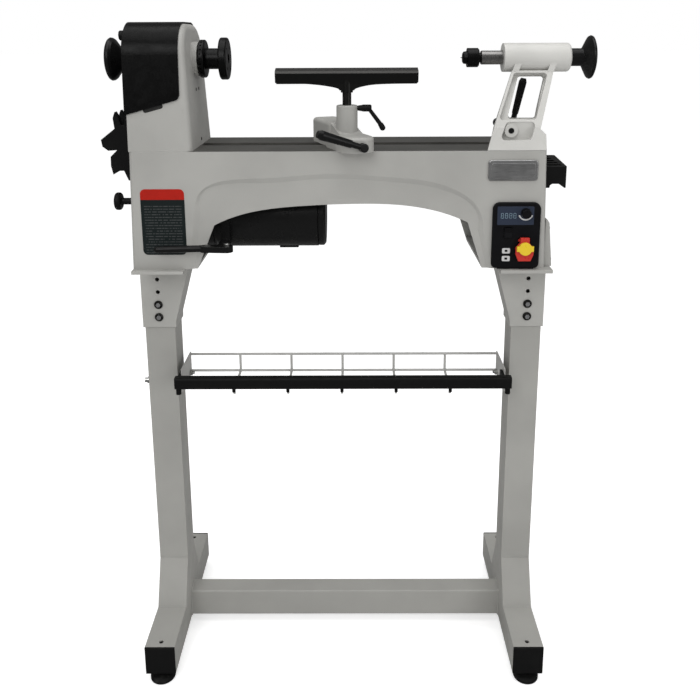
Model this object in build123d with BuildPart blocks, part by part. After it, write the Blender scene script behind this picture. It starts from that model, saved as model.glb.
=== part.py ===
"""Wood lathe on a height-adjustable stand: every separate piece as its own solid.

Frame: millimetres, +X towards the tailstock, +Y away from the operator, +Z up.
The origin is on the floor, under the centre of the overall length and depth.
The spindle axis runs along X at Y = 0.
"""

import os
from build123d import *

# ---------------------------------------------------------------- driving dimensions
overall_length = 890.0          # outboard handwheel face to tailstock handwheel face
swing_radius = 158.75           # spindle axis above the bed ways, 12.5 inch swing
bed_top = 1034.0                # height of the ways above the floor
bed_depth = 200.0               # front face to back face of the bed casting
bed_height = 216.0              # ways to the underside of the casting's feet
bed_left, bed_right = -392.8, 347.6
bed_wall = 10.0
way_thickness = 18.0
way_gap = 32.5                  # slot between the two ways
tube = 58.0                     # square tube of the stand
tube_wall = 3.0
foot_reach = 180.0              # foot tube end cap face from the centre plane
foot_base = 20.0                # underside of the foot tubes above the floor
stand_centre = -16.4            # middle of the stand along X
post_spacing = 714.0            # centre to centre of the two posts
post_top = 745.0
height_step = 25.4              # hole pitch of the height adjustment
quill_radius = 12.7
rest_post_radius = 7.94         # 5/8 inch tool-rest post
gap = 0.3                       # clearance between parts that stand next to each other
running = 0.05                  # radial clearance of a shaft in its hole

# ---------------------------------------------------------------- derived positions
spindle_z = bed_top + swing_radius
end_x = overall_length / 2
front_y = -bed_depth / 2
bed_bottom = bed_top - bed_height
cavity_y = bed_depth / 2 - bed_wall
way_under = bed_top - way_thickness
foot_top = foot_base + tube
half_tube = tube / 2
post_xs = (stand_centre - post_spacing / 2, stand_centre + post_spacing / 2)
centred_up = (Align.CENTER, Align.CENTER, Align.MIN)


# ---------------------------------------------------------------- shared shapes
def rod(start, end, radius, end_radius=None, mode=Mode.ADD):
    """A round bar, or a cone, from one point to another."""
    along = Vector(*end) - Vector(*start)
    with Locations(Plane(origin=start, z_dir=along)):
        if end_radius is None:
            Cylinder(radius, along.length, align=centred_up, mode=mode)
        else:
            Cone(radius, end_radius, along.length, align=centred_up, mode=mode)


def block(low, high, mode=Mode.ADD):
    """A box between two opposite corners."""
    low, high = Vector(*low), Vector(*high)
    size = high - low
    with Locations((low + high) * 0.5):
        Box(size.X, size.Y, size.Z, mode=mode)


def turned(outline, axis_y=0.0, axis_z=spindle_z, mode=Mode.ADD):
    """A body of revolution about an axis along X, from (x, radius) points."""
    first, last = outline[0], outline[-1]
    points = [(first[0], 0), *outline, (last[0], 0)]
    turning_plane = Plane(origin=(0, axis_y, axis_z), x_dir=(1, 0, 0), z_dir=(0, -1, 0))
    with BuildSketch(turning_plane) as half:
        with BuildLine():
            Polyline(*points, close=True)
        make_face()
    revolve(half.sketch, axis=Axis((0, axis_y, axis_z), (1, 0, 0)), mode=mode)


def turned_up(outline, centre, mode=Mode.ADD):
    """A body of revolution about a vertical axis, from (radius, z) points."""
    first, last = outline[0], outline[-1]
    points = [(0, first[1]), *outline, (0, last[1])]
    turning_plane = Plane(origin=(centre[0], centre[1], 0), x_dir=(1, 0, 0), z_dir=(0, -1, 0))
    with BuildSketch(turning_plane) as half:
        with BuildLine():
            Polyline(*points, close=True)
        make_face()
    revolve(half.sketch, axis=Axis((centre[0], centre[1], 0), (0, 0, 1)), mode=mode)


def side_prism(points, y_low, y_high, corner=0.0, mode=Mode.ADD):
    """A prism along Y from an outline of (x, z) points."""
    drawing = Plane(origin=(0, y_high, 0), x_dir=(1, 0, 0), z_dir=(0, -1, 0))
    with BuildSketch(drawing) as outline:
        with BuildLine():
            Polyline(*points, close=True)
        make_face()
        if corner:
            fillet(outline.vertices(), corner)
    extrude(outline.sketch, amount=y_high - y_low, mode=mode)


def finish_piece(piece, name):
    """Label one finished sub-part and write its STEP file."""
    piece.part.label = name
    export_step(piece.part, f"parts/{name}.step")


os.makedirs("parts", exist_ok=True)

# ================================================================ stand
shoulder_height = 166.7         # where the sloped shoulder leaves the post
shoulder_reach = 67.5           # where the shoulder meets the foot tube
cap_plate = 4.0
leveller_y = 162.5
stud_radius = 5.0
bolt_heights = [700.5 + height_step * step for step in range(4)]
post_bolt_radius = 4.0
shelf_bolt_z = 562.0
shelf_bolt_ys = (-17.0, 17.0)
shelf_bolt_radius = 3.0


def stand_leg(centre_x):
    """One leg weldment: foot tube, post and the two sloped shoulders between them."""
    foot_end = foot_reach - cap_plate
    outline = [
        (-foot_end, foot_base), (foot_end, foot_base), (foot_end, foot_top),
        (shoulder_reach, foot_top), (half_tube, shoulder_height), (half_tube, post_top),
        (-half_tube, post_top), (-half_tube, shoulder_height), (-shoulder_reach, foot_top),
        (-foot_end, foot_top),
    ]
    side_plane = Plane(origin=(centre_x, 0, 0), x_dir=(0, 1, 0), z_dir=(1, 0, 0))
    with BuildSketch(side_plane) as outer:
        with BuildLine():
            Polyline(*outline, close=True)
        make_face()
    with BuildSketch(side_plane) as inner:
        with BuildLine():
            Polyline(*outline, close=True)
        make_face()
        offset(amount=-tube_wall, kind=Kind.INTERSECTION)
    inner_half = half_tube - tube_wall
    extrude(outer.sketch, amount=half_tube, both=True)
    extrude(inner.sketch, amount=inner_half, both=True, mode=Mode.SUBTRACT)
    for side in (-1, 1):
        mouth = sorted((side * foot_end, side * (foot_end - 2 * tube_wall)))
        block(
            (centre_x - inner_half, mouth[0], foot_base + tube_wall),
            (centre_x + inner_half, mouth[1], foot_top - tube_wall),
            mode=Mode.SUBTRACT,
        )
        foot = (centre_x, side * leveller_y)
        rod((*foot, foot_base), (*foot, foot_base + tube_wall), stud_radius + running,
            mode=Mode.SUBTRACT)
        rod((*foot, foot_top - tube_wall), (*foot, foot_top), 4.2, mode=Mode.SUBTRACT)
    block(
        (centre_x - inner_half, -inner_half, post_top - 2 * tube_wall),
        (centre_x + inner_half, inner_half, post_top),
        mode=Mode.SUBTRACT,
    )
    for height in bolt_heights[:2]:
        rod((centre_x, -half_tube, height), (centre_x, half_tube, height), post_bolt_radius,
            mode=Mode.SUBTRACT)
    for y in shelf_bolt_ys:
        rod((centre_x - half_tube, y, shelf_bolt_z), (centre_x + half_tube, y, shelf_bolt_z),
            shelf_bolt_radius + running, mode=Mode.SUBTRACT)


with BuildPart() as left_leg:
    stand_leg(post_xs[0])
finish_piece(left_leg, "left_leg")

with BuildPart() as right_leg:
    stand_leg(post_xs[1])
finish_piece(right_leg, "right_leg")

beam_depth = 39.0
with BuildPart() as cross_beam:
    beam_low = post_xs[0] + half_tube
    beam_high = post_xs[1] - half_tube
    block((beam_low, -beam_depth / 2, foot_base), (beam_high, beam_depth / 2, foot_top))
    fillet(cross_beam.edges().filter_by(Axis.X), 3.0)
    block(
        (beam_low, -beam_depth / 2 + tube_wall, foot_base + tube_wall),
        (beam_high, beam_depth / 2 - tube_wall, foot_top - tube_wall),
        mode=Mode.SUBTRACT,
    )
finish_piece(cross_beam, "cross_beam")

with BuildPart() as foot_end_caps:
    plug = half_tube - tube_wall - 0.2
    plug_depth = 7.0
    middle = foot_base + half_tube
    for x in post_xs:
        for side in (-1, 1):
            plate = sorted((side * (foot_reach - cap_plate), side * foot_reach))
            tongue = sorted((side * (foot_reach - cap_plate - plug_depth),
                             side * (foot_reach - cap_plate)))
            block((x - half_tube, plate[0], foot_base), (x + half_tube, plate[1], foot_top))
            block((x - plug, tongue[0], middle - plug), (x + plug, tongue[1], middle + plug))
    outer_faces = foot_end_caps.faces().filter_by(Axis.Y).sort_by(Axis.Y)
    fillet(outer_faces[:2].edges() + outer_faces[-2:].edges(), 1.5)
finish_piece(foot_end_caps, "foot_end_caps")

foot_centres = {
    "front_left": (post_xs[0], -leveller_y),
    "front_right": (post_xs[1], -leveller_y),
    "rear_left": (post_xs[0], leveller_y),
    "rear_right": (post_xs[1], leveller_y),
}

def levelling_foot(centre):
    """A round pad under a threaded stud; the stud runs up inside the foot tube."""
    outline = [
        (22.0, 0), (24.0, 2.0), (24.0, 7.0), (20.0, 10.0), (8.0, 12.0),
        (stud_radius, 12.0), (stud_radius, 58.0),
    ]
    turned_up(outline, centre)


for corner, centre in foot_centres.items():
    with BuildPart() as levelling_foot_piece:
        levelling_foot(centre)
    finish_piece(levelling_foot_piece, f"levelling_foot_{corner}")

# ---------------------------------------------------------------- tool shelf on the stand
tray_floor = 560.0
tray_rail = 596.0
tray_back = 32.0
tray_front = -58.0
tray_sides = (stand_centre - 314.6, stand_centre + 314.6)
wire = 2.5
tray_plate = 2.0
wire_pitch = 105.0
tray_wire_xs = [stand_centre - 2.0 + wire_pitch * step for step in range(-2, 3)]

with BuildPart() as shelf_tray:
    for z in (tray_floor, tray_rail):
        rod((tray_sides[0], tray_back, z), (tray_sides[1], tray_back, z), wire)
    for x in tray_wire_xs:
        rod((x, tray_back, tray_floor), (x, tray_back, tray_rail), wire)
        rod((x, tray_front, tray_floor), (x, tray_back, tray_floor), wire)
        with Locations((x, tray_front, tray_floor)):
            Sphere(wire)
        rod((x, tray_front, tray_floor - 8.0), (x, tray_front, tray_floor), wire)
    for x in tray_sides:
        block((x - tray_plate / 2, tray_front + 4.0, tray_floor - 6.0),
              (x + tray_plate / 2, tray_back + 3.0, tray_rail + 4.0))
        for y in shelf_bolt_ys:
            rod((x - tray_plate, y, shelf_bolt_z), (x + tray_plate, y, shelf_bolt_z),
                shelf_bolt_radius + running, mode=Mode.SUBTRACT)
finish_piece(shelf_tray, "shelf_tray")

bar_low, bar_high = stand_centre - 324.0, stand_centre + 324.0
bar_bottom, bar_top = tray_floor + 8.7, 592.5
bar_depth = 18.0
with BuildPart() as shelf_front_bar:
    bar_back = tray_front - wire - 0.2
    block((bar_low, bar_back - bar_depth, bar_bottom), (bar_high, bar_back, bar_top))
    fillet(shelf_front_bar.edges().filter_by(Axis.X), 5.0)
    for x in (bar_low + 6.0, bar_high - 6.0):
        rod((x, bar_back - bar_depth / 2, bar_bottom - 12.0),
            (x, bar_back - bar_depth / 2, bar_bottom + 6.0), 5.0)
    for x in tray_wire_xs:
        rod((x, bar_back - 5.0, bar_bottom - 10.0), (x, bar_back - 5.0, bar_bottom + 2.0), 3.2)
    for x in tray_sides:
        block((x - 6.0, bar_back - 6.0, bar_bottom + 6.0),
              (x - 1.2, tray_front + 24.0, bar_top - 2.0))
finish_piece(shelf_front_bar, "shelf_front_bar")


def shelf_bolt_rod(y, from_x, to_x, radius):
    """One round length of a shelf bolt, along X at the bolt height."""
    rod((from_x, y, shelf_bolt_z), (to_x, y, shelf_bolt_z), radius)


# left post: a nut and the bolt's end stand out; right post: a thin, flat head
shelf_nuts = (5.0, 1.4)
shelf_bolt_ends = (10.5, 1.6)
with BuildPart() as shelf_bolts:
    for post_x, plate_x, outward, nut, end in zip(post_xs, tray_sides, (-1, 1),
                                                  shelf_nuts, shelf_bolt_ends):
        outer_face = post_x + outward * half_tube
        inner_face = post_x - outward * half_tube
        plate_outer = plate_x + outward * tray_plate / 2
        plate_inner = plate_x - outward * tray_plate / 2
        for y in shelf_bolt_ys:
            shelf_bolt_rod(y, outer_face + outward * nut, outer_face, 6.5)
            shelf_bolt_rod(y, outer_face + outward * end, outer_face, 4.6)
            shelf_bolt_rod(y, outer_face, plate_inner - outward * 9.0, shelf_bolt_radius)
            shelf_bolt_rod(y, plate_inner, plate_inner - outward * shelf_nuts[0], 5.5)
            shelf_bolt_rod(y, inner_face, plate_outer, 7.0)
finish_piece(shelf_bolts, "shelf_bolts")

# ================================================================ upper brackets
plate_low = bed_bottom - 6.0
plate_reach = 114.0
bracket_wall = 3.0
bracket_bottom = 679.5
bracket_inner = half_tube + gap         # inner faces of the bracket around the post
bracket_outer = bracket_inner + bracket_wall
bracket_spread = 64.4                   # inner edge of the bracket under the bed plate
plate_out, plate_in = -24.6, 69.4       # bed plate edges from the post, outboard and inboard
mount_bolt_offsets = (14.0, 54.0)       # from the post, inboard positive
mount_bolt_y = 82.0
mount_bolt_radius = 5.0


def bracket_outline(side, x, inset):
    """Outline of the tapered bracket box, seen from the front; side points inboard."""
    reach = bracket_outer - inset
    return [
        (x - side * reach, plate_low), (x - side * reach, bracket_bottom),
        (x + side * reach, bracket_bottom), (x + side * reach, bracket_bottom + 12.0),
        (x + side * (bracket_spread - inset), plate_low),
    ]


def top_bracket(x, side):
    """A tapered box bracket that slides over the post, with a plate for the bed's feet."""
    side_prism(bracket_outline(side, x, 0.0), -bracket_outer, bracket_outer)
    side_prism(bracket_outline(side, x, bracket_wall), -bracket_inner, bracket_inner,
               mode=Mode.SUBTRACT)
    edges = sorted((x + side * plate_out, x + side * plate_in))
    block((edges[0], -plate_reach, plate_low), (edges[1], plate_reach, bed_bottom))
    for height in bolt_heights:
        rod((x, -bracket_outer, height), (x, bracket_outer, height),
            post_bolt_radius + running, mode=Mode.SUBTRACT)
    for offset_x in mount_bolt_offsets:
        for y in (-mount_bolt_y, mount_bolt_y):
            bolt_x = x + side * offset_x
            rod((bolt_x, y, plate_low), (bolt_x, y, bed_bottom), mount_bolt_radius + running,
                mode=Mode.SUBTRACT)


with BuildPart() as left_top_bracket:
    top_bracket(post_xs[0], 1)
finish_piece(left_top_bracket, "left_top_bracket")

with BuildPart() as right_top_bracket:
    top_bracket(post_xs[1], -1)
finish_piece(right_top_bracket, "right_top_bracket")

with BuildPart() as bracket_bolts:
    head_radius, head_height, head_corner = 8.25, 4.6, 2.6
    for x in post_xs:
        for height in bolt_heights[:2]:
            for side in (-1, 1):
                seat = (x, side * bracket_outer, height)
                rod(seat, (x, side * (bracket_outer + head_height - head_corner), height),
                    head_radius)
                rod((x, side * (bracket_outer + head_height - head_corner), height),
                    (x, side * (bracket_outer + head_height), height),
                    head_radius, head_radius - head_corner)
                rod(seat, (x, side * (bracket_inner - 0.1), height), post_bolt_radius)
finish_piece(bracket_bolts, "bracket_bolts")

mount_bolt_top = bed_bottom + 20.0
with BuildPart() as bed_mount_bolts:
    for x, side in zip(post_xs, (1, -1)):
        for offset_x in mount_bolt_offsets:
            for y in (-mount_bolt_y, mount_bolt_y):
                bolt_x = x + side * offset_x
                with BuildSketch(Plane.XY.offset(plate_low - 6.4)):
                    with Locations((bolt_x, y)):
                        RegularPolygon(8.0, 6, major_radius=False)
                extrude(amount=6.4)
                rod((bolt_x, y, plate_low), (bolt_x, y, mount_bolt_top), mount_bolt_radius)
finish_piece(bed_mount_bolts, "bed_mount_bolts")

# ================================================================ bed casting
foot_splay = 6.0                 # how far the end faces lean out towards the feet
foot_pad = 12.0
slot_ends = (-279.0, bed_right - 12.0)
belt_opening = (-380.0, -305.0)
pivot_y, pivot_z = 62.0, 992.0   # motor pivot pin
pivot_radius = 5.0
pivot_lugs = ((-300.0, -288.0), (-252.0, -240.0))
lock_y, lock_z = -60.0, 937.0    # motor lock knob
lock_radius = 4.0
arch_left = [(-280.2, bed_bottom), (-247.0, 899.0)]
arch_right = [(211.2, 903.0), (239.0, bed_bottom)]
arch_top = [(-199.0, 918.3), (-90.0, 934.4), (-1.0, 938.0), (88.5, 935.7), (142.4, 927.3)]
crease_left = [(-294.0, bed_bottom), (-280.0, 929.0)]
crease_right = [(238.6, 890.0), (257.0, bed_bottom)]
crease_top = [(-271.0, 958.0), (-163.0, 985.6), (-36.4, 993.5), (65.0, 987.7), (179.0, 967.4),
              (222.7, 938.0)]
crease_depth = 4.0
crease_slope = 9.0               # width of the soft step into the recessed band


def arch_region(y, left, top, right):
    """The area under a curve that runs from one foot to the other, on a plane across Y."""
    with BuildSketch(Plane(origin=(0, y, 0), x_dir=(1, 0, 0), z_dir=(0, -1, 0))) as region:
        with BuildLine():
            Polyline(*left)
            Spline(left[-1], *top, right[0])
            Polyline(*right)
            Line(right[-1], left[0])
        make_face()
    return region.sketch


with BuildPart() as bed_casting:
    bed_outline = [
        (bed_left, bed_top), (bed_left - foot_splay, bed_bottom),
        (bed_right + foot_splay, bed_bottom), (bed_right, bed_top),
    ]
    side_prism(bed_outline, front_y, -front_y)
    end_faces = bed_casting.faces().sort_by(Axis.X)
    fillet(end_faces[0].edges().filter_by(Axis.Y, reverse=True)
           + end_faces[-1].edges().filter_by(Axis.Y, reverse=True), 7.0)
    extrude(arch_region(front_y, arch_left, arch_top, arch_right), amount=-bed_depth,
            mode=Mode.SUBTRACT)
    # the softly recessed band that follows the arch on both faces
    inner_left = [(x + crease_slope, z) for x, z in crease_left]
    inner_top = [(x, z - crease_slope) for x, z in crease_top]
    inner_right = [(x - crease_slope, z) for x, z in crease_right]
    for side in (-1, 1):
        face_y = side * bed_depth / 2
        rim = arch_region(face_y, crease_left, crease_top, crease_right)
        floor = arch_region(face_y - side * crease_depth, inner_left, inner_top, inner_right)
        loft(sections=[rim, floor], ruled=True, mode=Mode.SUBTRACT)
    # hollow inside, open downwards through the arch
    block((bed_left + bed_wall, -cavity_y, bed_bottom + foot_pad),
          (bed_right - bed_wall, cavity_y, way_under), mode=Mode.SUBTRACT)
    block((slot_ends[0], -way_gap / 2, way_under), (slot_ends[1], way_gap / 2, bed_top),
          mode=Mode.SUBTRACT)
    block((belt_opening[0], -60.0, way_under), (belt_opening[1], 60.0, bed_top),
          mode=Mode.SUBTRACT)
    for lug in pivot_lugs:
        block((lug[0], pivot_y - 10.0, pivot_z - 12.0), (lug[1], pivot_y + 10.0, way_under))
    rod((pivot_lugs[0][0], pivot_y, pivot_z), (pivot_lugs[1][1], pivot_y, pivot_z),
        pivot_radius, mode=Mode.SUBTRACT)
    for x, side in zip(post_xs, (1, -1)):
        for offset_x in mount_bolt_offsets:
            for y in (-mount_bolt_y, mount_bolt_y):
                bolt_x = x + side * offset_x
                rod((bolt_x, y, bed_bottom + foot_pad), (bolt_x, y, bed_bottom + 22.0), 7.5)
                rod((bolt_x, y, bed_bottom), (bolt_x, y, bed_bottom + 24.0),
                    mount_bolt_radius, mode=Mode.SUBTRACT)
    rod((bed_left - 10.0, lock_y, lock_z), (bed_left + 14.0, lock_y, lock_z),
        lock_radius + running, mode=Mode.SUBTRACT)
finish_piece(bed_casting, "bed_casting")

# ================================================================ headstock
head_left, head_right = bed_left, -280.5
head_lean = 10.5                 # how far the inboard face leans back at the top
head_top = spindle_z + 63.5
head_half_top = 86.0             # half width at the top, before its corners are rounded
head_crown = 58.0                # radius of the rounded top corners
bearing_outer, bearing_width = 26.0, 14.0
spindle_radius = 15.0
front_bearing_x = -304.0
rear_bearing_x = -392.8
head_boss_end, head_boss_radius = -278.4, 31.0   # round boss on the inboard face
chamber = (-380.8, -303.0)       # belt chamber between the two bearing walls
cover_right = -298.5
cover_left = -396.4
cover_gap, cover_skin = 0.5, 2.0
cover_lip = 24.0
cover_slope = [(-305.0, 1124.0), (-402.0, 1098.0)]   # slanted lower edge of the cover


face_holes = ((-10.0, 1137.5), (15.0, 1137.5), (-3.0, 1045.0))   # (y, z), inboard face
face_hole_radius = 2.6


def head_section(x, inset):
    """The headstock's cross-section: leaning sides and a rounded top."""
    half_base = bed_depth / 2 - inset
    half_top = head_half_top - inset
    top_z = head_top - inset
    with BuildSketch(Plane(origin=(x, 0, 0), x_dir=(0, 1, 0), z_dir=(1, 0, 0))) as section:
        with BuildLine():
            Polyline((-half_top, top_z), (-half_base, bed_top), (half_base, bed_top),
                     (half_top, top_z), close=True)
        make_face()
        fillet(section.vertices().group_by(Axis.Y)[-1], head_crown - inset)
    return section.sketch


def cover_window(inset):
    """Front-view outline of the area that the belt cover closes."""
    return [
        (cover_left - 5.0, head_top + 20.0), (cover_left - 5.0, cover_slope[1][1] + inset),
        (cover_right - 8.0 - inset, cover_slope[0][1] + 2.0 + inset),
        (cover_right - inset, cover_slope[0][1] + 12.0 + inset),
        (cover_right - inset, head_top + 20.0),
    ]


with BuildPart() as headstock_casting:
    extrude(head_section(head_left, 0.0), amount=head_right - head_left)
    side_prism([(head_right, bed_top), (head_right + 2.0, bed_top), (head_right + 2.0, head_top),
                (head_right - head_lean, head_top)], front_y - 1, -front_y + 1,
               mode=Mode.SUBTRACT)
    inboard = headstock_casting.faces().sort_by(Axis.X)[-1]
    fillet(inboard.edges().filter_by(lambda edge: edge.center().Z > bed_top + 1.0), 13.0)
    rod((front_bearing_x, 0, spindle_z), (head_boss_end, 0, spindle_z), head_boss_radius)
    extrude(head_section(chamber[0], bed_wall), amount=chamber[1] - chamber[0],
            mode=Mode.SUBTRACT)
    side_prism(cover_window(7.0), front_y - 1, -cavity_y, mode=Mode.SUBTRACT)
    block((chamber[0], -cavity_y - 5.0, spindle_z - 40.0), (chamber[1], 60.0, head_top + 1.0),
          mode=Mode.SUBTRACT)
    rod((front_bearing_x, 0, spindle_z), (front_bearing_x + bearing_width, 0, spindle_z),
        bearing_outer, mode=Mode.SUBTRACT)
    rod((head_left - 1, 0, spindle_z), (front_bearing_x + bearing_width + 2.0, 0, spindle_z),
        bearing_outer - 5.0, mode=Mode.SUBTRACT)
    rod((head_left - 1, 0, spindle_z), (head_boss_end, 0, spindle_z), spindle_radius + 1.0,
        mode=Mode.SUBTRACT)
    rod((rear_bearing_x, 0, spindle_z), (chamber[0], 0, spindle_z), bearing_outer,
        mode=Mode.SUBTRACT)
    rod((front_bearing_x - 1.0, 0, spindle_z), (front_bearing_x, 0, spindle_z), bearing_outer,
        mode=Mode.SUBTRACT)
    for y, z in face_holes:
        rod((head_right - 16.0, y, z), (head_right + 1.0, y, z), face_hole_radius,
            mode=Mode.SUBTRACT)
finish_piece(headstock_casting, "headstock_casting")

with BuildPart() as spindle_bearings:
    for x, width in ((front_bearing_x, bearing_width), (rear_bearing_x, 12.0)):
        rod((x, 0, spindle_z), (x + width, 0, spindle_z), bearing_outer)
        rod((x, 0, spindle_z), (x + width, 0, spindle_z), spindle_radius + running,
            mode=Mode.SUBTRACT)
finish_piece(spindle_bearings, "spindle_bearings")

end_panel_x = (head_left - 1.4, head_left - 0.2)
with BuildPart() as headstock_end_panel:
    extrude(head_section(end_panel_x[0], 2.0), amount=end_panel_x[1] - end_panel_x[0])
    rod((end_panel_x[0], 0, spindle_z), (end_panel_x[1], 0, spindle_z), 24.0,
        mode=Mode.SUBTRACT)
finish_piece(headstock_end_panel, "headstock_end_panel")

hinge_y, hinge_z = 99.0, 1186.0
hinge_radius = 2.5
hinge_knuckles = [(-388.0, -372.0), (-356.0, -340.0), (-324.0, -308.0)]
cover_knuckles = [(-371.5, -356.5), (-339.5, -324.5)]
latch_y, latch_z = -58.0, 1235.3
latch_radius = 3.0

with BuildPart() as belt_cover:
    extrude(head_section(cover_left, -cover_gap - cover_skin),
            amount=cover_right - cover_left)
    extrude(head_section(cover_left + cover_skin, -cover_gap),
            amount=cover_right - cover_left - cover_skin, mode=Mode.SUBTRACT)
    # the open left end keeps only a lip around the edge
    extrude(head_section(cover_left, cover_lip), amount=cover_skin, mode=Mode.SUBTRACT)
    front_waste = [
        (cover_left - 1, cover_slope[1][1]), (cover_slope[0][0], cover_slope[0][1]),
        (cover_right - 2.5, cover_slope[0][1] + 3.0), (cover_right, cover_slope[0][1] + 9.0),
        (cover_right + 1, cover_slope[0][1] + 9.0), (cover_right + 1, bed_top - 20.0),
        (cover_left - 1, bed_top - 20.0),
    ]
    side_prism(front_waste, front_y - 10.0, 0.0, mode=Mode.SUBTRACT)
    block((cover_left - 1, 0.0, bed_top - 20.0), (cover_right + 1, 120.0, hinge_z + 4.0),
          mode=Mode.SUBTRACT)
    for knuckle in cover_knuckles:
        rod((knuckle[0], hinge_y, hinge_z), (knuckle[1], hinge_y, hinge_z), 5.5)
        block((knuckle[0], hinge_y - 7.0, hinge_z), (knuckle[1], hinge_y - 4.0, hinge_z + 12.0))
    rod((cover_left, hinge_y, hinge_z), (cover_right, hinge_y, hinge_z),
        hinge_radius + running, mode=Mode.SUBTRACT)
    rod((cover_left - 1, latch_y, latch_z), (cover_left + cover_skin, latch_y, latch_z),
        latch_radius + running, mode=Mode.SUBTRACT)
finish_piece(belt_cover, "belt_cover")

with BuildPart() as cover_hinge:
    # three fixed knuckles on a rail screwed to the casting's back, and the pin through all five
    for knuckle in hinge_knuckles:
        rod((knuckle[0], hinge_y, hinge_z), (knuckle[1], hinge_y, hinge_z), 5.5)
        block((knuckle[0], hinge_y - 9.0, hinge_z - 26.0), (knuckle[1], hinge_y, hinge_z - 4.0))
    block((hinge_knuckles[0][0], hinge_y - 9.0, hinge_z - 26.0),
          (hinge_knuckles[-1][1], hinge_y - 3.0, hinge_z - 9.0))
    extrude(head_section(cover_left, 0.0), amount=cover_right - cover_left, mode=Mode.SUBTRACT)
    rod((hinge_knuckles[0][0], hinge_y, hinge_z), (hinge_knuckles[-1][1], hinge_y, hinge_z),
        hinge_radius)
finish_piece(cover_hinge, "cover_hinge")

with BuildPart() as cover_latch_knob:
    rod((cover_left - 10.6, latch_y, latch_z), (cover_left - 2.0, latch_y, latch_z), 8.7)
    fillet(cover_latch_knob.edges().filter_by(GeomType.CIRCLE), 2.0)
    rod((cover_left - 2.0, latch_y, latch_z), (cover_left - 0.3, latch_y, latch_z), 5.0)
    rod((cover_left - 0.3, latch_y, latch_z), (cover_left + cover_skin, latch_y, latch_z),
        latch_radius)
finish_piece(cover_latch_knob, "cover_latch_knob")

# ================================================================ spindle line
step_width = 18.0
pulley_x = -372.0
spindle_steps = (50.0, 42.0, 34.0)
motor_steps = (20.0, 28.0, 36.0)
belt_step = 1                     # the belt sits on the middle step
ring_x = (-276.9, -265.6)
faceplate_x = (-265.6, -224.7)
flange_x = -239.3                 # back of the faceplate's flange
spindle_bore = 5.0
spindle_end = -441.0
nose_end = -228.0
wheel_hub_x = -407.0
faceplate_screw_circle = 25.0
faceplate_screw_radius = 3.0

with BuildPart() as spindle:
    turned([(spindle_end, 10.0), (wheel_hub_x, 10.0), (wheel_hub_x, spindle_radius),
            (ring_x[1], spindle_radius), (ring_x[1], 12.7), (nose_end, 12.7)])
    rod((spindle_end - 1, 0, spindle_z), (nose_end + 1, 0, spindle_z), spindle_bore,
        mode=Mode.SUBTRACT)
finish_piece(spindle, "spindle")


def stepped_pulley(radii, bore, axis_z):
    """A three-step belt pulley with thin flanges between its steps."""
    for number, radius in enumerate(radii):
        low = pulley_x + number * step_width
        rod((low, 0, axis_z), (low + step_width, 0, axis_z), radius)
        rod((low, 0, axis_z), (low + 1.5, 0, axis_z), radius + 2.5)
        rod((low + step_width - 1.5, 0, axis_z), (low + step_width, 0, axis_z), radius + 2.5)
    rod((pulley_x, 0, axis_z), (pulley_x + 3 * step_width, 0, axis_z), bore,
        mode=Mode.SUBTRACT)


with BuildPart() as spindle_pulley:
    stepped_pulley(spindle_steps, spindle_radius, spindle_z)
finish_piece(spindle_pulley, "spindle_pulley")

with BuildPart() as index_ring:
    turned([(ring_x[0], 34.5), (ring_x[1], 34.5)])
    fillet(index_ring.edges().filter_by(GeomType.CIRCLE), 2.5)
    rod((ring_x[0], 0, spindle_z), (ring_x[1], 0, spindle_z), spindle_radius,
        mode=Mode.SUBTRACT)
    index_holes = 24
    with Locations(Plane(origin=((ring_x[0] + ring_x[1]) / 2, 0, spindle_z), z_dir=(1, 0, 0))):
        with PolarLocations(34.5, index_holes):
            Cylinder(1.6, 6.0, rotation=(0, 90, 0), mode=Mode.SUBTRACT)
finish_piece(index_ring, "index_ring")

with BuildPart() as faceplate:
    turned([(flange_x, 38.3), (faceplate_x[1], 38.3)])
    fillet(faceplate.edges().filter_by(GeomType.CIRCLE), 3.2)
    rod((faceplate_x[0], 0, spindle_z), (flange_x, 0, spindle_z), 19.0)
    rod((faceplate_x[0], 0, spindle_z), (nose_end, 0, spindle_z), 12.7, mode=Mode.SUBTRACT)
    rod((nose_end, 0, spindle_z), (faceplate_x[1], 0, spindle_z), 9.0, mode=Mode.SUBTRACT)
    with Locations(Plane(origin=(faceplate_x[1], 0, spindle_z), z_dir=(1, 0, 0))):
        with PolarLocations(faceplate_screw_circle, 4, start_angle=45):
            Hole(faceplate_screw_radius)
finish_piece(faceplate, "faceplate")

with BuildPart() as outboard_handwheel:
    turned([(-end_x, 34.5), (-443.2, 37.6), (-440.5, 39.3), (-437.0, 38.8), (-433.0, 36.0),
            (-418.0, 15.5), (wheel_hub_x, 14.0)])
    rod((-end_x, 0, spindle_z), (spindle_end, 0, spindle_z), 24.0, 12.0, mode=Mode.SUBTRACT)
    rod((spindle_end, 0, spindle_z), (wheel_hub_x, 0, spindle_z), 10.0, mode=Mode.SUBTRACT)
finish_piece(outboard_handwheel, "outboard_handwheel")

# ================================================================ motor and drive
motor_z = 899.0
motor_radius = 62.0
motor_x = (-250.0, -62.0)
bell_end = -47.4
mount_x = (-270.0, -258.0)
front_bell_x, front_bell_radius = -314.0, 56.0
shaft_radius = 9.5

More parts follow.
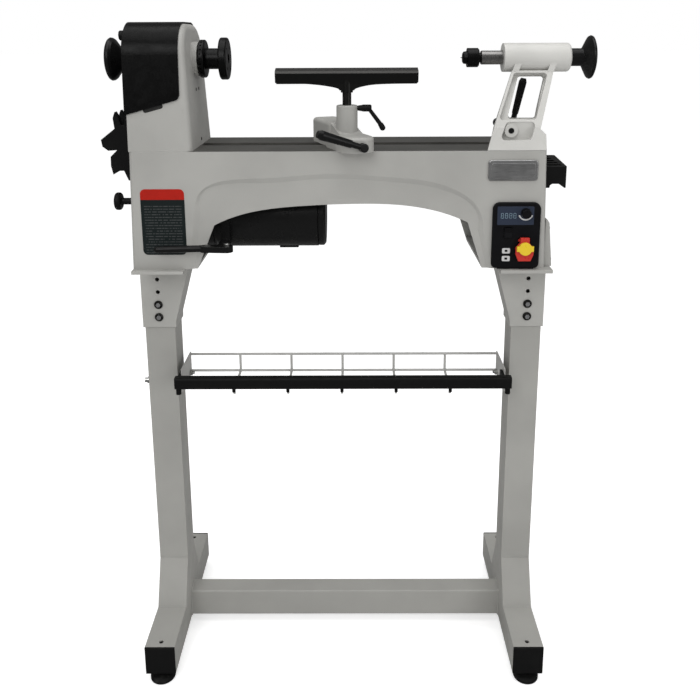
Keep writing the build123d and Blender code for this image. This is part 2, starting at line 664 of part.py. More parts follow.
foot_x, foot_drop = (-137.0, -101.0), 64.0      # a low cast foot under the motor's body
with BuildPart() as motor_housing:
    rod((motor_x[0], 0, motor_z), (motor_x[1], 0, motor_z), motor_radius)
    block((foot_x[0], -14.0, motor_z - foot_drop), (foot_x[1], 14.0, motor_z - 50.0))
    block((motor_x[0], -52.0, motor_z - 30.0), (motor_x[0] + 60.0, -40.0, motor_z + 30.0))
    rod((mount_x[1], 0, motor_z), (motor_x[0], 0, motor_z), motor_radius - 4.0)
    rod((mount_x[1], 0, motor_z), (motor_x[1], 0, motor_z), shaft_radius + running,
        mode=Mode.SUBTRACT)
finish_piece(motor_housing, "motor_housing")

with BuildPart() as motor_end_bell:
    turned([(motor_x[1], motor_radius - 2.5), (motor_x[1] + 2.0, motor_radius - 1.0),
            (bell_end - 4.0, motor_radius - 1.0), (bell_end, motor_radius - 6.0)],
           axis_z=motor_z)
finish_piece(motor_end_bell, "motor_end_bell")

with BuildPart() as motor_mount_plate:
    plate_plane = Plane(origin=(mount_x[0], 0, 0), x_dir=(0, 1, 0), z_dir=(1, 0, 0))
    with BuildSketch(plate_plane):
        with Locations((0, motor_z)):
            Circle(motor_radius)
        with Locations((pivot_y, pivot_z)):
            Circle(15.0)
        make_hull()
    extrude(amount=mount_x[1] - mount_x[0])
    rod((front_bell_x + 4.0, 0, motor_z), (mount_x[0], 0, motor_z), front_bell_radius)
    rod((front_bell_x, 0, motor_z), (front_bell_x + 4.0, 0, motor_z), front_bell_radius - 4.0,
        front_bell_radius)
    rod((front_bell_x, 0, motor_z), (mount_x[1], 0, motor_z), shaft_radius + 4.0,
        mode=Mode.SUBTRACT)
    rod((mount_x[0], pivot_y, pivot_z), (mount_x[1], pivot_y, pivot_z), pivot_radius + running,
        mode=Mode.SUBTRACT)
finish_piece(motor_mount_plate, "motor_mount_plate")

with BuildPart() as motor_pivot_pin:
    rod((pivot_lugs[0][0] - 4.0, pivot_y, pivot_z), (pivot_lugs[0][0], pivot_y, pivot_z),
        pivot_radius + 2.5)
    rod((pivot_lugs[0][0], pivot_y, pivot_z), (pivot_lugs[1][1] + 4.0, pivot_y, pivot_z),
        pivot_radius)
finish_piece(motor_pivot_pin, "motor_pivot_pin")

lever_y, lever_z = -118.0, 861.0
lever_tip, lever_grip_end, lever_elbow = -347.0, -262.0, -222.0
lever_radius = 6.2
arm_x, arm_radius = -232.0, 8.0         # the arm that runs back under the motor's side
with BuildPart() as tension_lever:
    rod((lever_tip, lever_y, lever_z - 1.0), (lever_grip_end, lever_y, lever_z + 1.0),
        lever_radius)
    with Locations((lever_tip, lever_y, lever_z - 1.0)):
        Sphere(lever_radius)
    with BuildSketch(Plane.XY.offset(lever_z - 5.0)):
        with Locations((lever_grip_end, lever_y)):
            Circle(arm_radius)
        with Locations((lever_elbow, lever_y)):
            Circle(11.0)
        make_hull()
    extrude(amount=11.0)
    with BuildSketch(Plane.XY.offset(lever_z - 4.0)):
        with Locations((arm_x, lever_y)):
            Circle(arm_radius)
        with Locations((arm_x, -46.0)):
            Circle(arm_radius)
        make_hull()
    extrude(amount=9.0)
    block((arm_x - arm_radius, -68.0, lever_z - 4.0), (arm_x + arm_radius, -40.0, motor_z + 4.0))
    rod((motor_x[0], 0, motor_z), (motor_x[1], 0, motor_z), motor_radius + 0.02,
        mode=Mode.SUBTRACT)
finish_piece(tension_lever, "tension_lever")

with BuildPart() as motor_shaft:
    rod((pulley_x - 4.0, 0, motor_z), (motor_x[1] - 1.0, 0, motor_z), shaft_radius)
    fillet(motor_shaft.edges().filter_by(GeomType.CIRCLE).sort_by(Axis.X)[0], 1.0)
finish_piece(motor_shaft, "motor_shaft")

with BuildPart() as motor_pulley:
    stepped_pulley(motor_steps, shaft_radius, motor_z)
finish_piece(motor_pulley, "motor_pulley")

with BuildPart() as drive_belt:
    belt_low = pulley_x + belt_step * step_width + 2.0
    belt_width = step_width - 4.0
    belt_plane = Plane(origin=(belt_low, 0, 0), x_dir=(0, 1, 0), z_dir=(1, 0, 0))
    belt_thickness = 4.0
    with BuildSketch(belt_plane) as belt_outer:
        with Locations((0, spindle_z)):
            Circle(spindle_steps[belt_step] + running + belt_thickness)
        with Locations((0, motor_z)):
            Circle(motor_steps[belt_step] + running + belt_thickness)
        make_hull()
    with BuildSketch(belt_plane) as belt_inner:
        with Locations((0, spindle_z)):
            Circle(spindle_steps[belt_step] + running)
        with Locations((0, motor_z)):
            Circle(motor_steps[belt_step] + running)
        make_hull()
    extrude(belt_outer.sketch, amount=belt_width)
    extrude(belt_inner.sketch, amount=belt_width, mode=Mode.SUBTRACT)
finish_piece(drive_belt, "drive_belt")

with BuildPart() as motor_lock_knob:
    knob_x = (-433.5, -421.5)
    rod((knob_x[0], lock_y, lock_z), (knob_x[1], lock_y, lock_z), 16.3)
    fillet(motor_lock_knob.edges().filter_by(GeomType.CIRCLE), 4.5)
    rod((knob_x[1], lock_y, lock_z), (-399.0, lock_y, lock_z), 6.2)
    rod((-399.0, lock_y, lock_z), (bed_left + 12.0, lock_y, lock_z), lock_radius)
finish_piece(motor_lock_knob, "motor_lock_knob")

# ================================================================ fittings on the bed
with BuildPart() as left_tool_holder:
    back = end_panel_x[0] - 0.2
    holder_outline = [
        (back, 1112.0), (-405.5, 1112.0), (-407.5, 1076.0), (-413.5, 1077.0), (-419.0, 1092.0),
        (-424.0, 1101.0), (-428.0, 1090.0), (-426.0, 1071.0), (-452.0, 1051.0),
        (-450.0, 1038.5), (-440.0, 1031.0), (-424.0, 1032.0), (-436.5, 1020.0),
        (-437.0, 1003.0), (-433.5, 987.0), (-423.0, 994.0), (-413.5, 994.0), (-409.5, 984.0),
        (-406.0, 976.0), (bed_left - 4.6, 976.0), (bed_left - 4.6, 1033.0), (back, 1034.5),
    ]
    side_prism(holder_outline, -62.0, 62.0)
    for y in (-36.0, 0.0, 36.0):
        block((-460.0, y - 11.0, 1026.0), (-409.0, y + 11.0, 1110.0), mode=Mode.SUBTRACT)
finish_piece(left_tool_holder, "left_tool_holder")

holder_half = 70.0                # half length along Y
holder_z = (961.0, 1000.3)
holder_front_right, holder_back_right = 392.0, 404.0
pocket_x, pocket_half, pocket_floor = (360.0, 386.0), 8.0, 976.0
with BuildPart() as right_tool_holder:
    right_face = bed_right + 3.2
    with BuildSketch(Plane.XY.offset(holder_z[0])):
        with BuildLine():
            Polyline((right_face, -holder_half), (holder_front_right, -holder_half),
                     (holder_back_right, holder_half),
                     (right_face, holder_half), close=True)
        make_face()
    extrude(amount=holder_z[1] - holder_z[0])
    fillet(right_tool_holder.edges().filter_by(Axis.Z).sort_by(Axis.X)[-2:], 3.0)
    # arched underside between its two legs, and the row of pockets for tools on top
    side_prism([(361.5, 960.0), (363.0, 966.0), (367.0, 968.4), (384.0, 968.4), (388.0, 966.0),
                (389.0, 960.0)], -holder_half - 1, holder_half + 1, mode=Mode.SUBTRACT)
    for y in (-50.0, -25.0, 0.0, 25.0, 50.0):
        block((pocket_x[0], y - pocket_half, pocket_floor),
              (pocket_x[1], y + pocket_half, holder_z[1] + 1), mode=Mode.SUBTRACT)
finish_piece(right_tool_holder, "right_tool_holder")

with BuildPart() as controller_box:
    box_left = bed_right + foot_splay + 0.2
    side_prism([(box_left, 818.5), (368.5, 818.5), (361.5, 899.0), (357.5, 905.5),
                (box_left, 905.5)], -88.0, 88.0)
    fillet(controller_box.faces().sort_by(Axis.X)[-1].edges(), 1.5)
finish_piece(controller_box, "controller_box")

with BuildPart() as nameplate:
    block((244.0, front_y - 3.6, 980.4), (332.5, front_y - 0.2, 1017.6))
    fillet(nameplate.edges().filter_by(Axis.Y), 6.0)
    fillet(nameplate.faces().sort_by(Axis.Y)[0].edges(), 2.0)
finish_piece(nameplate, "nameplate")

# ================================================================ control panel
panel_x = (254.4, 340.5)
panel_z = (820.0, 941.6)
panel_face = front_y - 6.0
speed_knob_at = (313.2, 922.6)
rocker_at = (283.0, 886.5)
paddle_at = (312.4, 857.0)
paddle_half = 16.0

with BuildPart() as control_panel:
    block((panel_x[0], panel_face, panel_z[0]), (panel_x[1], front_y - 0.2, panel_z[1]))
    upright_edges = control_panel.edges().filter_by(Axis.Y).group_by(Axis.Z)
    fillet(upright_edges[-1], 13.0)
    fillet(upright_edges[0], 8.0)
    fillet(control_panel.faces().sort_by(Axis.Y)[0].edges(), 2.2)
    block((panel_x[0] + 11.0, panel_face + 1.2, bed_bottom + gap),
          (panel_x[1] - 9.0, front_y - 0.2, panel_z[0] + 1.0))
    rod((speed_knob_at[0], panel_face, speed_knob_at[1]),
        (speed_knob_at[0], panel_face + 4.0, speed_knob_at[1]), 3.0 + running,
        mode=Mode.SUBTRACT)
    block((rocker_at[0] - 7.5, panel_face, rocker_at[1] - 10.0),
          (rocker_at[0] + 7.5, panel_face + 5.0, rocker_at[1] + 10.0), mode=Mode.SUBTRACT)
    block((paddle_at[0] - 11.0, panel_face, paddle_at[1] - 17.0),
          (paddle_at[0] + 11.0, panel_face + 5.0, paddle_at[1] + 19.0), mode=Mode.SUBTRACT)
finish_piece(control_panel, "control_panel")

with BuildPart() as speed_knob:
    knob_y = (panel_face - 12.0, panel_face - 0.5)
    rod((speed_knob_at[0], knob_y[1], speed_knob_at[1]),
        (speed_knob_at[0], knob_y[0], speed_knob_at[1]), 9.2, 8.0)
    fillet(speed_knob.edges().sort_by(Axis.Y)[0], 1.2)
    rod((speed_knob_at[0], knob_y[1], speed_knob_at[1]),
        (speed_knob_at[0], panel_face + 3.5, speed_knob_at[1]), 3.0)
    block((speed_knob_at[0] - 0.8, knob_y[0] - 1.0, speed_knob_at[1] + 2.0),
          (speed_knob_at[0] + 0.8, knob_y[0] + 0.8, speed_knob_at[1] + 9.0),
          mode=Mode.SUBTRACT)
finish_piece(speed_knob, "speed_knob")

with BuildPart() as direction_rocker:
    # seen from the side: a shallow V that tips about its middle
    rocker_plane = Plane(origin=(rocker_at[0] - 7.0, 0, 0), x_dir=(0, 1, 0), z_dir=(1, 0, 0))
    with BuildSketch(rocker_plane):
        with BuildLine():
            Polyline((panel_face + 3.6, rocker_at[1]), (panel_face - 0.4, rocker_at[1] - 9.2),
                     (panel_face - 2.6, rocker_at[1] - 8.8), (panel_face - 0.4, rocker_at[1]),
                     (panel_face - 2.6, rocker_at[1] + 8.8), (panel_face - 0.4, rocker_at[1] + 9.2),
                     close=True)
        make_face()
    extrude(amount=14.0)
    rod((rocker_at[0] - 7.0, panel_face + 3.6, rocker_at[1]),
        (rocker_at[0] + 7.0, panel_face + 3.6, rocker_at[1]), 1.2)
finish_piece(direction_rocker, "direction_rocker")

key_radius = 11.8
key_lugs = (30.0, 9.5)
with BuildPart() as power_paddle:
    # a red paddle hinged at its top edge, with a slot that holds the yellow key
    paddle_face = panel_face - 9.0
    paddle_outline = [
        (paddle_at[0] - 8.0, paddle_at[1] + 21.0), (paddle_at[0] + 8.0, paddle_at[1] + 21.0),
        (paddle_at[0] + 8.0, paddle_at[1] + 12.0),
        (paddle_at[0] + paddle_half, paddle_at[1] + 2.0),
        (paddle_at[0] + paddle_half, paddle_at[1] - 10.0),
        (paddle_at[0] + 11.0, paddle_at[1] - 22.0), (paddle_at[0] - 11.0, paddle_at[1] - 22.0),
        (paddle_at[0] - paddle_half, paddle_at[1] - 10.0),
        (paddle_at[0] - paddle_half, paddle_at[1] + 2.0),
        (paddle_at[0] - 8.0, paddle_at[1] + 12.0),
    ]
    side_prism(paddle_outline, paddle_face, panel_face - 2.0)
    fillet(power_paddle.faces().sort_by(Axis.Y)[0].edges(), 1.5)
    block((paddle_at[0] - 8.0, panel_face - 2.0, paddle_at[1] + 10.0),
          (paddle_at[0] + 8.0, panel_face + 3.0, paddle_at[1] + 18.0))
    rod((paddle_at[0] - 10.5, panel_face + 2.5, paddle_at[1] + 14.0),
        (paddle_at[0] + 10.5, panel_face + 2.5, paddle_at[1] + 14.0), 2.0)
    block((paddle_at[0] - 6.0, paddle_face - 1.0, paddle_at[1] - 8.0),
          (paddle_at[0] + 6.0, panel_face - 4.0, paddle_at[1] + 8.0), mode=Mode.SUBTRACT)
finish_piece(power_paddle, "power_paddle")

with BuildPart() as safety_key:
    with BuildSketch(Plane(origin=(paddle_at[0], paddle_face - 0.4, paddle_at[1] + 2.0),
                           x_dir=(1, 0, 0), z_dir=(0, -1, 0))):
        Circle(key_radius)
        Rectangle(*key_lugs)
    extrude(amount=5.6)
    fillet(safety_key.faces().sort_by(Axis.Y)[0].edges(), 1.2)
    block((paddle_at[0] - 5.7, paddle_face - 0.4, paddle_at[1] - 7.7),
          (paddle_at[0] + 5.7, panel_face - 4.4, paddle_at[1] + 7.7))
finish_piece(safety_key, "safety_key")

# ================================================================ banjo and tool rest
post_at = (-6.0, -62.0)                   # tool-rest post socket
clamp_at = (-30.0, 0.0)                   # clamp bolt, over the slot between the ways
banjo_line = Vector(clamp_at[0] - post_at[0], clamp_at[1] - post_at[1], 0).normalized()
clamp_distance = (Vector(*clamp_at, 0) - Vector(*post_at, 0)).length
banjo_base = bed_top + 0.2
banjo_plane = Plane(origin=(post_at[0], post_at[1], 0),
                    x_dir=(banjo_line.X, banjo_line.Y, 0), z_dir=(0, 0, 1))
arm_half, block_half = 31.0, 25.0
arm_top = bed_top + 27.0
block_top = bed_top + 46.0
socket_radius = 19.0
socket_top = 1112.0
nose_reach = 72.0                         # front end of the casting from the post
block_reach = (20.0, 128.0)               # the tall clamp block behind the post
cam_z = bed_top + 11.0
cam_radius = 6.0
slot_reach = (56.0, 114.0)
bolt_half = 6.5
clamp_plate_top = way_under - 0.5


def along_banjo(distance, z):
    """A point on the banjo's centre line, measured from the post."""
    point = Vector(*post_at, z) + banjo_line * distance
    return (point.X, point.Y, z)


def banjo_slab(low_z, high_z, reach, half, ends, mode=Mode.ADD):
    """A slab along the banjo with rounded vertical corners."""
    with BuildSketch(banjo_plane.offset(low_z)) as slab:
        with Locations(((reach[0] + reach[1]) / 2, 0)):
            RectangleRounded(reach[1] - reach[0], 2 * half, ends)
    extrude(slab.sketch, amount=high_z - low_z, mode=mode)


with BuildPart() as banjo_casting:
    banjo_slab(banjo_base, arm_top, (-nose_reach, 46.0), arm_half, 26.0)
    fillet(banjo_casting.faces().sort_by(Axis.Z)[-1].edges(), 6.0)
    banjo_slab(banjo_base, block_top, block_reach, block_half, 12.0)
    fillet(banjo_casting.faces().sort_by(Axis.Z)[-1].edges(), 7.0)
    # the ramp from the clamp block down to the arm
    ramp_plane = Plane(origin=(post_at[0], post_at[1], 0),
                       x_dir=(banjo_line.X, banjo_line.Y, 0),
                       z_dir=(banjo_line.Y, -banjo_line.X, 0))
    with BuildSketch(ramp_plane) as ramp:
        with BuildLine():
            Polyline((-28.0, arm_top - 1.0), (30.0, block_top - 1.0), (30.0, arm_top - 4.0),
                     (-28.0, arm_top - 4.0), close=True)
        make_face()
    extrude(ramp.sketch, amount=block_half - 3.0, both=True)
    rod((*post_at, banjo_base), (*post_at, socket_top), socket_radius)
    fillet(banjo_casting.faces().sort_by(Axis.Z)[-1].edges(), 2.5)
    # slot and hollow for the clamp bolt, bores for the cam shaft, post and lock screw
    banjo_slab(banjo_base - 1.0, block_top - 9.0, slot_reach, bolt_half + 8.0, 8.0,
               mode=Mode.SUBTRACT)
    rod(along_banjo(-nose_reach - 1.0, cam_z), along_banjo(block_reach[1] - 6.0, cam_z),
        cam_radius + running, mode=Mode.SUBTRACT)
    rod((*post_at, bed_top + 20.0), (*post_at, socket_top + 1.0), rest_post_radius + running,
        mode=Mode.SUBTRACT)
    rod((post_at[0], post_at[1], socket_top - 5.5),
        (post_at[0] + socket_radius + 2.0, post_at[1], socket_top - 5.5), 3.0 + running,
        mode=Mode.SUBTRACT)
    rod((post_at[0] + socket_radius - 3.0, post_at[1], socket_top - 5.5),
        (post_at[0] + socket_radius + 2.0, post_at[1], socket_top - 5.5), 5.0,
        mode=Mode.SUBTRACT)
finish_piece(banjo_casting, "banjo_casting")

with BuildPart() as banjo_eye_bolt:
    stem_low, stem_high = clamp_plate_top - 26.0, cam_z + 14.0
    rod((*clamp_at, stem_low), (*clamp_at, stem_high), bolt_half)
    rod(along_banjo(clamp_distance - 6.0, cam_z), along_banjo(clamp_distance + 6.0, cam_z),
        13.0)
    rod(along_banjo(clamp_distance - 14.0, cam_z), along_banjo(clamp_distance + 14.0, cam_z),
        cam_radius + running, mode=Mode.SUBTRACT)
    with BuildSketch(Plane.XY.offset(stem_low + 2.0)):
        with Locations(clamp_at):
            RegularPolygon(11.0, 6, major_radius=False)
    extrude(amount=9.0)
finish_piece(banjo_eye_bolt, "banjo_eye_bolt")


def clamp_plate(x, bolt_radius):
    """A plate under the ways with a tongue that keeps it square in the slot."""
    block((x - 30.0, -36.0, clamp_plate_top - 12.0), (x + 30.0, 36.0, clamp_plate_top))
    block((x - 20.0, -way_gap / 2 + 0.4, clamp_plate_top), (x + 20.0, way_gap / 2 - 0.4,
                                                             clamp_plate_top + 8.0))
    rod((x, 0, clamp_plate_top - 12.0), (x, 0, clamp_plate_top + 8.0), bolt_radius + running,
        mode=Mode.SUBTRACT)


with BuildPart() as banjo_clamp_plate:
    clamp_plate(clamp_at[0], bolt_half)
finish_piece(banjo_clamp_plate, "banjo_clamp_plate")

lever_swing = 18.5                        # rest angle of the banjo lever above level
lever_length = 88.0
knuckle = along_banjo(-nose_reach - 7.5, cam_z)
level_dir = Vector(-banjo_line.Y, banjo_line.X, 0)
grip_dir = level_dir.rotate(Axis((0, 0, 0), (banjo_line.X, banjo_line.Y, 0)), -lever_swing)
if grip_dir.Z < 0:
    grip_dir = level_dir.rotate(Axis((0, 0, 0), (banjo_line.X, banjo_line.Y, 0)), lever_swing)


def along_lever(distance):
    """A point on the banjo lever's centre line."""
    return tuple(Vector(*knuckle) + grip_dir * distance)


with BuildPart() as banjo_cam_lever:
    rod(along_banjo(-nose_reach - 4.0, cam_z), along_banjo(block_reach[1] - 8.0, cam_z),
        cam_radius)
    rod(along_banjo(-nose_reach - 14.5, cam_z), along_banjo(-nose_reach - 0.5, cam_z), 7.8)
    fillet(banjo_cam_lever.edges().filter_by(GeomType.CIRCLE).sort_by(Axis.Y)[0], 2.0)
    rod(along_lever(0.0), along_lever(24.0), 5.0, 5.6)
    rod(along_lever(24.0), along_lever(lever_length - 8.0), 7.0, 8.6)
    rod(along_lever(lever_length - 8.0), along_lever(lever_length), 8.6, 6.0)
finish_piece(banjo_cam_lever, "banjo_cam_lever")

blade_x = (-133.0, 120.6)
blade_z = (1150.0, 1177.5)
boss_bottom = 1134.5
boss_radius = 10.8
post_low, post_high = bed_top + 46.0, blade_z[1] - 14.0

with BuildPart() as tool_rest_post:
    rod((*post_at, post_low), (*post_at, post_high), rest_post_radius)
    chamfer(tool_rest_post.edges().filter_by(GeomType.CIRCLE), 1.0)
finish_piece(tool_rest_post, "tool_rest_post")

with BuildPart() as tool_rest_blade:
    # front view: straight top, underside that sweeps down to the boss
    blade_plane = Plane(origin=(0, post_at[1] + 20.0, 0), x_dir=(1, 0, 0), z_dir=(0, -1, 0))
    with BuildSketch(blade_plane):
        with BuildLine():
            Polyline((blade_x[0], blade_z[0] + 3.0), (blade_x[0], blade_z[1]),
                     (blade_x[1], blade_z[1]), (blade_x[1], blade_z[0] + 3.0),
                     (blade_x[1] - 3.0, blade_z[0]))
            Spline((blade_x[1] - 3.0, blade_z[0]), (post_at[0] + 62.0, blade_z[0] - 0.8),
                   (post_at[0] + 20.0, blade_z[0] - 7.0), (post_at[0] + 13.0, boss_bottom + 4.0),
                   tangents=[(-1, 0), (-0.35, -1)])
            Line((post_at[0] + 13.0, boss_bottom + 4.0), (post_at[0] - 13.0, boss_bottom + 4.0))
            Spline((post_at[0] - 13.0, boss_bottom + 4.0), (post_at[0] - 20.0, blade_z[0] - 7.0),
                   (post_at[0] - 62.0, blade_z[0] - 0.8), (blade_x[0] + 3.0, blade_z[0]),
                   tangents=[(-0.35, 1), (-1, 0)])
            Line((blade_x[0] + 3.0, blade_z[0]), (blade_x[0], blade_z[0] + 3.0))
        make_face()
    extrude(amount=40.0)
    # side view: a bevelled top edge and a body that thins towards the bottom
    section_plane = Plane(origin=(blade_x[0], 0, 0), x_dir=(0, 1, 0), z_dir=(1, 0, 0))
    with BuildSketch(section_plane):
        with BuildLine():
            Polyline((post_at[1] - 12.6, blade_z[1] - 9.0), (post_at[1] - 10.0, blade_z[1] - 5.0),
                     (post_at[1] + 8.0, blade_z[1]), (post_at[1] + 10.0, blade_z[1] - 2.0),
                     (post_at[1] + 9.0, boss_bottom), (post_at[1] - 9.0, boss_bottom),
                     (post_at[1] - 9.6, blade_z[0]), close=True)
        make_face()
    extrude(amount=blade_x[1] - blade_x[0], mode=Mode.INTERSECT)
    rod((*post_at, boss_bottom), (*post_at, blade_z[1] - 9.0), boss_radius)
    rod((*post_at, boss_bottom - 1.0), (*post_at, post_high + 0.2), rest_post_radius + running,
        mode=Mode.SUBTRACT)
finish_piece(tool_rest_blade, "tool_rest_blade")

lock_screw_z = socket_top - 5.5
with BuildPart() as tool_rest_lock_lever:
    screw_tip = post_at[0] + rest_post_radius + 0.2
    hub_start = post_at[0] + socket_radius + 1.2
    hub_end = hub_start + 24.0
    rod((screw_tip, post_at[1], lock_screw_z), (hub_start, post_at[1], lock_screw_z), 3.0)
    rod((hub_start - 3.0, post_at[1], lock_screw_z), (hub_start + 8.0, post_at[1], lock_screw_z),
        4.2, 6.0)
    rod((hub_start + 8.0, post_at[1], lock_screw_z), (hub_end, post_at[1], lock_screw_z), 6.3)
    fillet(tool_rest_lock_lever.edges().filter_by(GeomType.CIRCLE).sort_by(Axis.X)[-1], 3.0)
    rod((hub_end - 5.0, post_at[1], lock_screw_z - 1.0), (56.0, post_at[1], 1075.0), 3.4, 4.0)
    rod((54.0, post_at[1], 1078.0), (58.0, post_at[1], 1071.0), 4.8, 5.2)
    with Locations((58.0, post_at[1], 1071.0)):
        Sphere(5.2)
finish_piece(tool_rest_lock_lever, "tool_rest_lock_lever")

# ================================================================ tailstock
barrel_x = (281.0, 404.0)
barrel_radius = 26.2
quill_x = (240.5, 395.0)
quill_bore_end = 282.0
screw_radius = 7.9
tail_base = bed_top + 0.2
tail_cam = (286.0, 1067.0)
tail_cam_radius = 5.0
tail_lever_y = 52.0
tail_shear = 0.2                          # how far the sides move to +X per mm of depth
saddle_low, saddle_top = 1050.0, 1074.0
leg_low, leg_top = 1060.0, 1170.0
leg_front_low, leg_front_top = -90.5, -22.5
# outlines in front view; the cuts run back from there along the slanted sides
window = [(291.0, 1166.6), (339.0, 1166.6), (325.0, 1089.0), (274.0, 1089.0)]
window_drop = 0.08                        # how far the window falls per mm of depth
hollow = [(257.4, tail_base), (266.4, 1080.0), (316.4, 1080.0), (316.4, tail_base)]
pocket = [(274.0, 1082.0), (326.0, 1082.0), (318.0, 1051.0), (263.0, 1051.0)]


def tail_section(z, front, rear):
    """A level four-sided section, from (y, low x, high x) of its front and rear edges."""
    with BuildSketch(Plane.XY.offset(z)) as section:
        with BuildLine():
            Polyline((front[1], front[0]), (front[2], front[0]), (rear[2], rear[0]),
                     (rear[1], rear[0]), close=True)
        make_face()
    return section.sketch


def slanted_prism(points, y_low, y_high, corner=0.0, drop=0.0, mode=Mode.ADD):
    """A prism from an outline of (x, z) points at its front, running back and towards +X."""
    drawing = Plane(origin=(0, y_low, 0), x_dir=(1, 0, 0), z_dir=(0, -1, 0))
    with BuildSketch(drawing) as outline:
        with BuildLine():
            Polyline(*points, close=True)
        make_face()
        if corner:
            fillet(outline.vertices(), corner)
    depth = y_high - y_low
    back = Vector(tail_shear * depth, depth, -drop * depth)
    extrude(outline.sketch, amount=back.length, dir=back.normalized(), mode=mode)


with BuildPart() as tailstock_casting:
    # the saddle: low all over, and higher in front of the lever
    loft(sections=[tail_section(tail_base, (-99.5, 242.0, 346.5), (99.5, 288.0, 346.5)),
                   tail_section(saddle_low, (-94.0, 246.8, 346.5), (94.0, 289.0, 346.5))],
         ruled=True)
    loft(sections=[tail_section(saddle_low, (-94.0, 246.8, 346.5), (38.0, 274.0, 346.5)),
                   tail_section(saddle_top, (-86.0, 255.4, 346.5), (38.0, 280.0, 346.5))],
         ruled=True)
    chamfer(tailstock_casting.faces().sort_by(Axis.Z)[-1].edges().sort_by(Axis.X)[-1], 13.0)
    loft(sections=[tail_section(leg_low, (leg_front_low, 249.8, 334.0), (38.0, 275.4, 342.0)),
                   tail_section(leg_top, (leg_front_top, 294.8, 371.0), (22.5, 303.8, 380.0))],
         ruled=True)
    for low, high in ((294.8, 307.0), (359.0, 371.0)):
        slanted_prism([(low, leg_top - 2.0), (high, leg_top - 2.0), (high + 9.0, spindle_z),
                       (low + 9.0, spindle_z)], leg_front_top - 1.5, -leg_front_top - 1.5)
    rod((barrel_x[0], 0, spindle_z), (barrel_x[1], 0, spindle_z), barrel_radius)
    round_edges = tailstock_casting.edges().filter_by(GeomType.CIRCLE).sort_by(Axis.X)
    fillet(round_edges[-1], 6.0)
    # the front face of the legs is sunk between two ribs
    slope = Vector(0, leg_front_top - leg_front_low, leg_top - leg_low)
    rise = (leg_top - leg_low) / slope.length
    slope_plane = Plane(origin=(0, leg_front_low, leg_low), x_dir=(1, 0, 0),
                        z_dir=(0, -slope.Z, slope.Y))
    with BuildSketch(slope_plane) as sunk_face:
        with BuildLine():
            Polyline((298.5, 106.0 / rise), (359.5, 106.0 / rise), (330.0, 25.0 / rise),
                     (264.5, 25.0 / rise), close=True)
        make_face()
        fillet(sunk_face.vertices(), 6.0)
    extrude(sunk_face.sketch, amount=-14.0, mode=Mode.SUBTRACT)
    slanted_prism(window, -100.0, 60.0, corner=5.0, drop=window_drop, mode=Mode.SUBTRACT)
    slanted_prism(pocket, -100.0, -76.0, corner=7.0, mode=Mode.SUBTRACT)
    rod((tail_cam[0], -82.5, tail_cam[1]), (tail_cam[0], -70.0, tail_cam[1]), 12.0)
    # hollow underneath around the clamp bolt
    slanted_prism(hollow, -58.0, 12.0, mode=Mode.SUBTRACT)
    rod((tail_cam[0], -85.0, tail_cam[1]), (tail_cam[0], 60.0, tail_cam[1]),
        tail_cam_radius + running, mode=Mode.SUBTRACT)
    # two tongues that keep the casting square in the slot
    tongue_half = way_gap / 2 - 0.1
    for tongue, web_x in (((270.0, 277.0), 269.0), ((318.0, 330.0), 338.0)):
        block((tongue[0], -tongue_half, bed_top - 9.0), (tongue[1], tongue_half, tail_base + 2.0))
        web = (min(tongue[0], web_x), max(tongue[1], web_x))
        block((web[0], -tongue_half, tail_base), (web[1], tongue_half, tail_base + 8.0))
    rod((barrel_x[0] - 1, 0, spindle_z), (barrel_x[1] - 8.0, 0, spindle_z),
        quill_radius + running, mode=Mode.SUBTRACT)
    rod((barrel_x[1] - 9.0, 0, spindle_z), (barrel_x[1] + 1, 0, spindle_z),
        screw_radius + 0.1, mode=Mode.SUBTRACT)
finish_piece(tailstock_casting, "tailstock_casting")

with BuildPart() as tailstock_clamp:
    clamp_x = tail_cam[0]
    clamp_plate(clamp_x, 0.0)
    rod((clamp_x, 0, clamp_plate_top - 20.0), (clamp_x, 0, tail_cam[1] - 4.0), 6.0)
    rod((clamp_x, -7.0, tail_cam[1]), (clamp_x, 7.0, tail_cam[1]), 9.0)
    rod((clamp_x, -15.0, tail_cam[1]), (clamp_x, 15.0, tail_cam[1]), tail_cam_radius + running,
        mode=Mode.SUBTRACT)
finish_piece(tailstock_clamp, "tailstock_clamp")

tail_grip_foot = Vector(315.6, tail_lever_y, 1070.0)
tail_grip_dir = Vector(0.206, 0, 0.979).normalized()


def up_tail_lever(distance):
    """A point on the centre line of the tailstock lever's grip."""
    return tuple(tail_grip_foot + tail_grip_dir * distance)


with BuildPart() as tailstock_cam_lever:
    rod((tail_cam[0], -83.0, tail_cam[1]), (tail_cam[0], tail_lever_y + 6.0, tail_cam[1]),
        tail_cam_radius)
    rod((tail_cam[0], tail_lever_y - 6.0, tail_cam[1]),
        (tail_cam[0], tail_lever_y + 6.0, tail_cam[1]), 8.5)
    rod((tail_cam[0], tail_lever_y, tail_cam[1]), (316.6, tail_lever_y, 1073.6), 4.4)
    rod(up_tail_lever(0.0), up_tail_lever(15.0), 5.2)
    rod(up_tail_lever(15.0), up_tail_lever(77.0), 6.2, 7.6)
    rod(up_tail_lever(77.0), up_tail_lever(84.0), 7.6, 5.0)
finish_piece(tailstock_cam_lever, "tailstock_cam_lever")

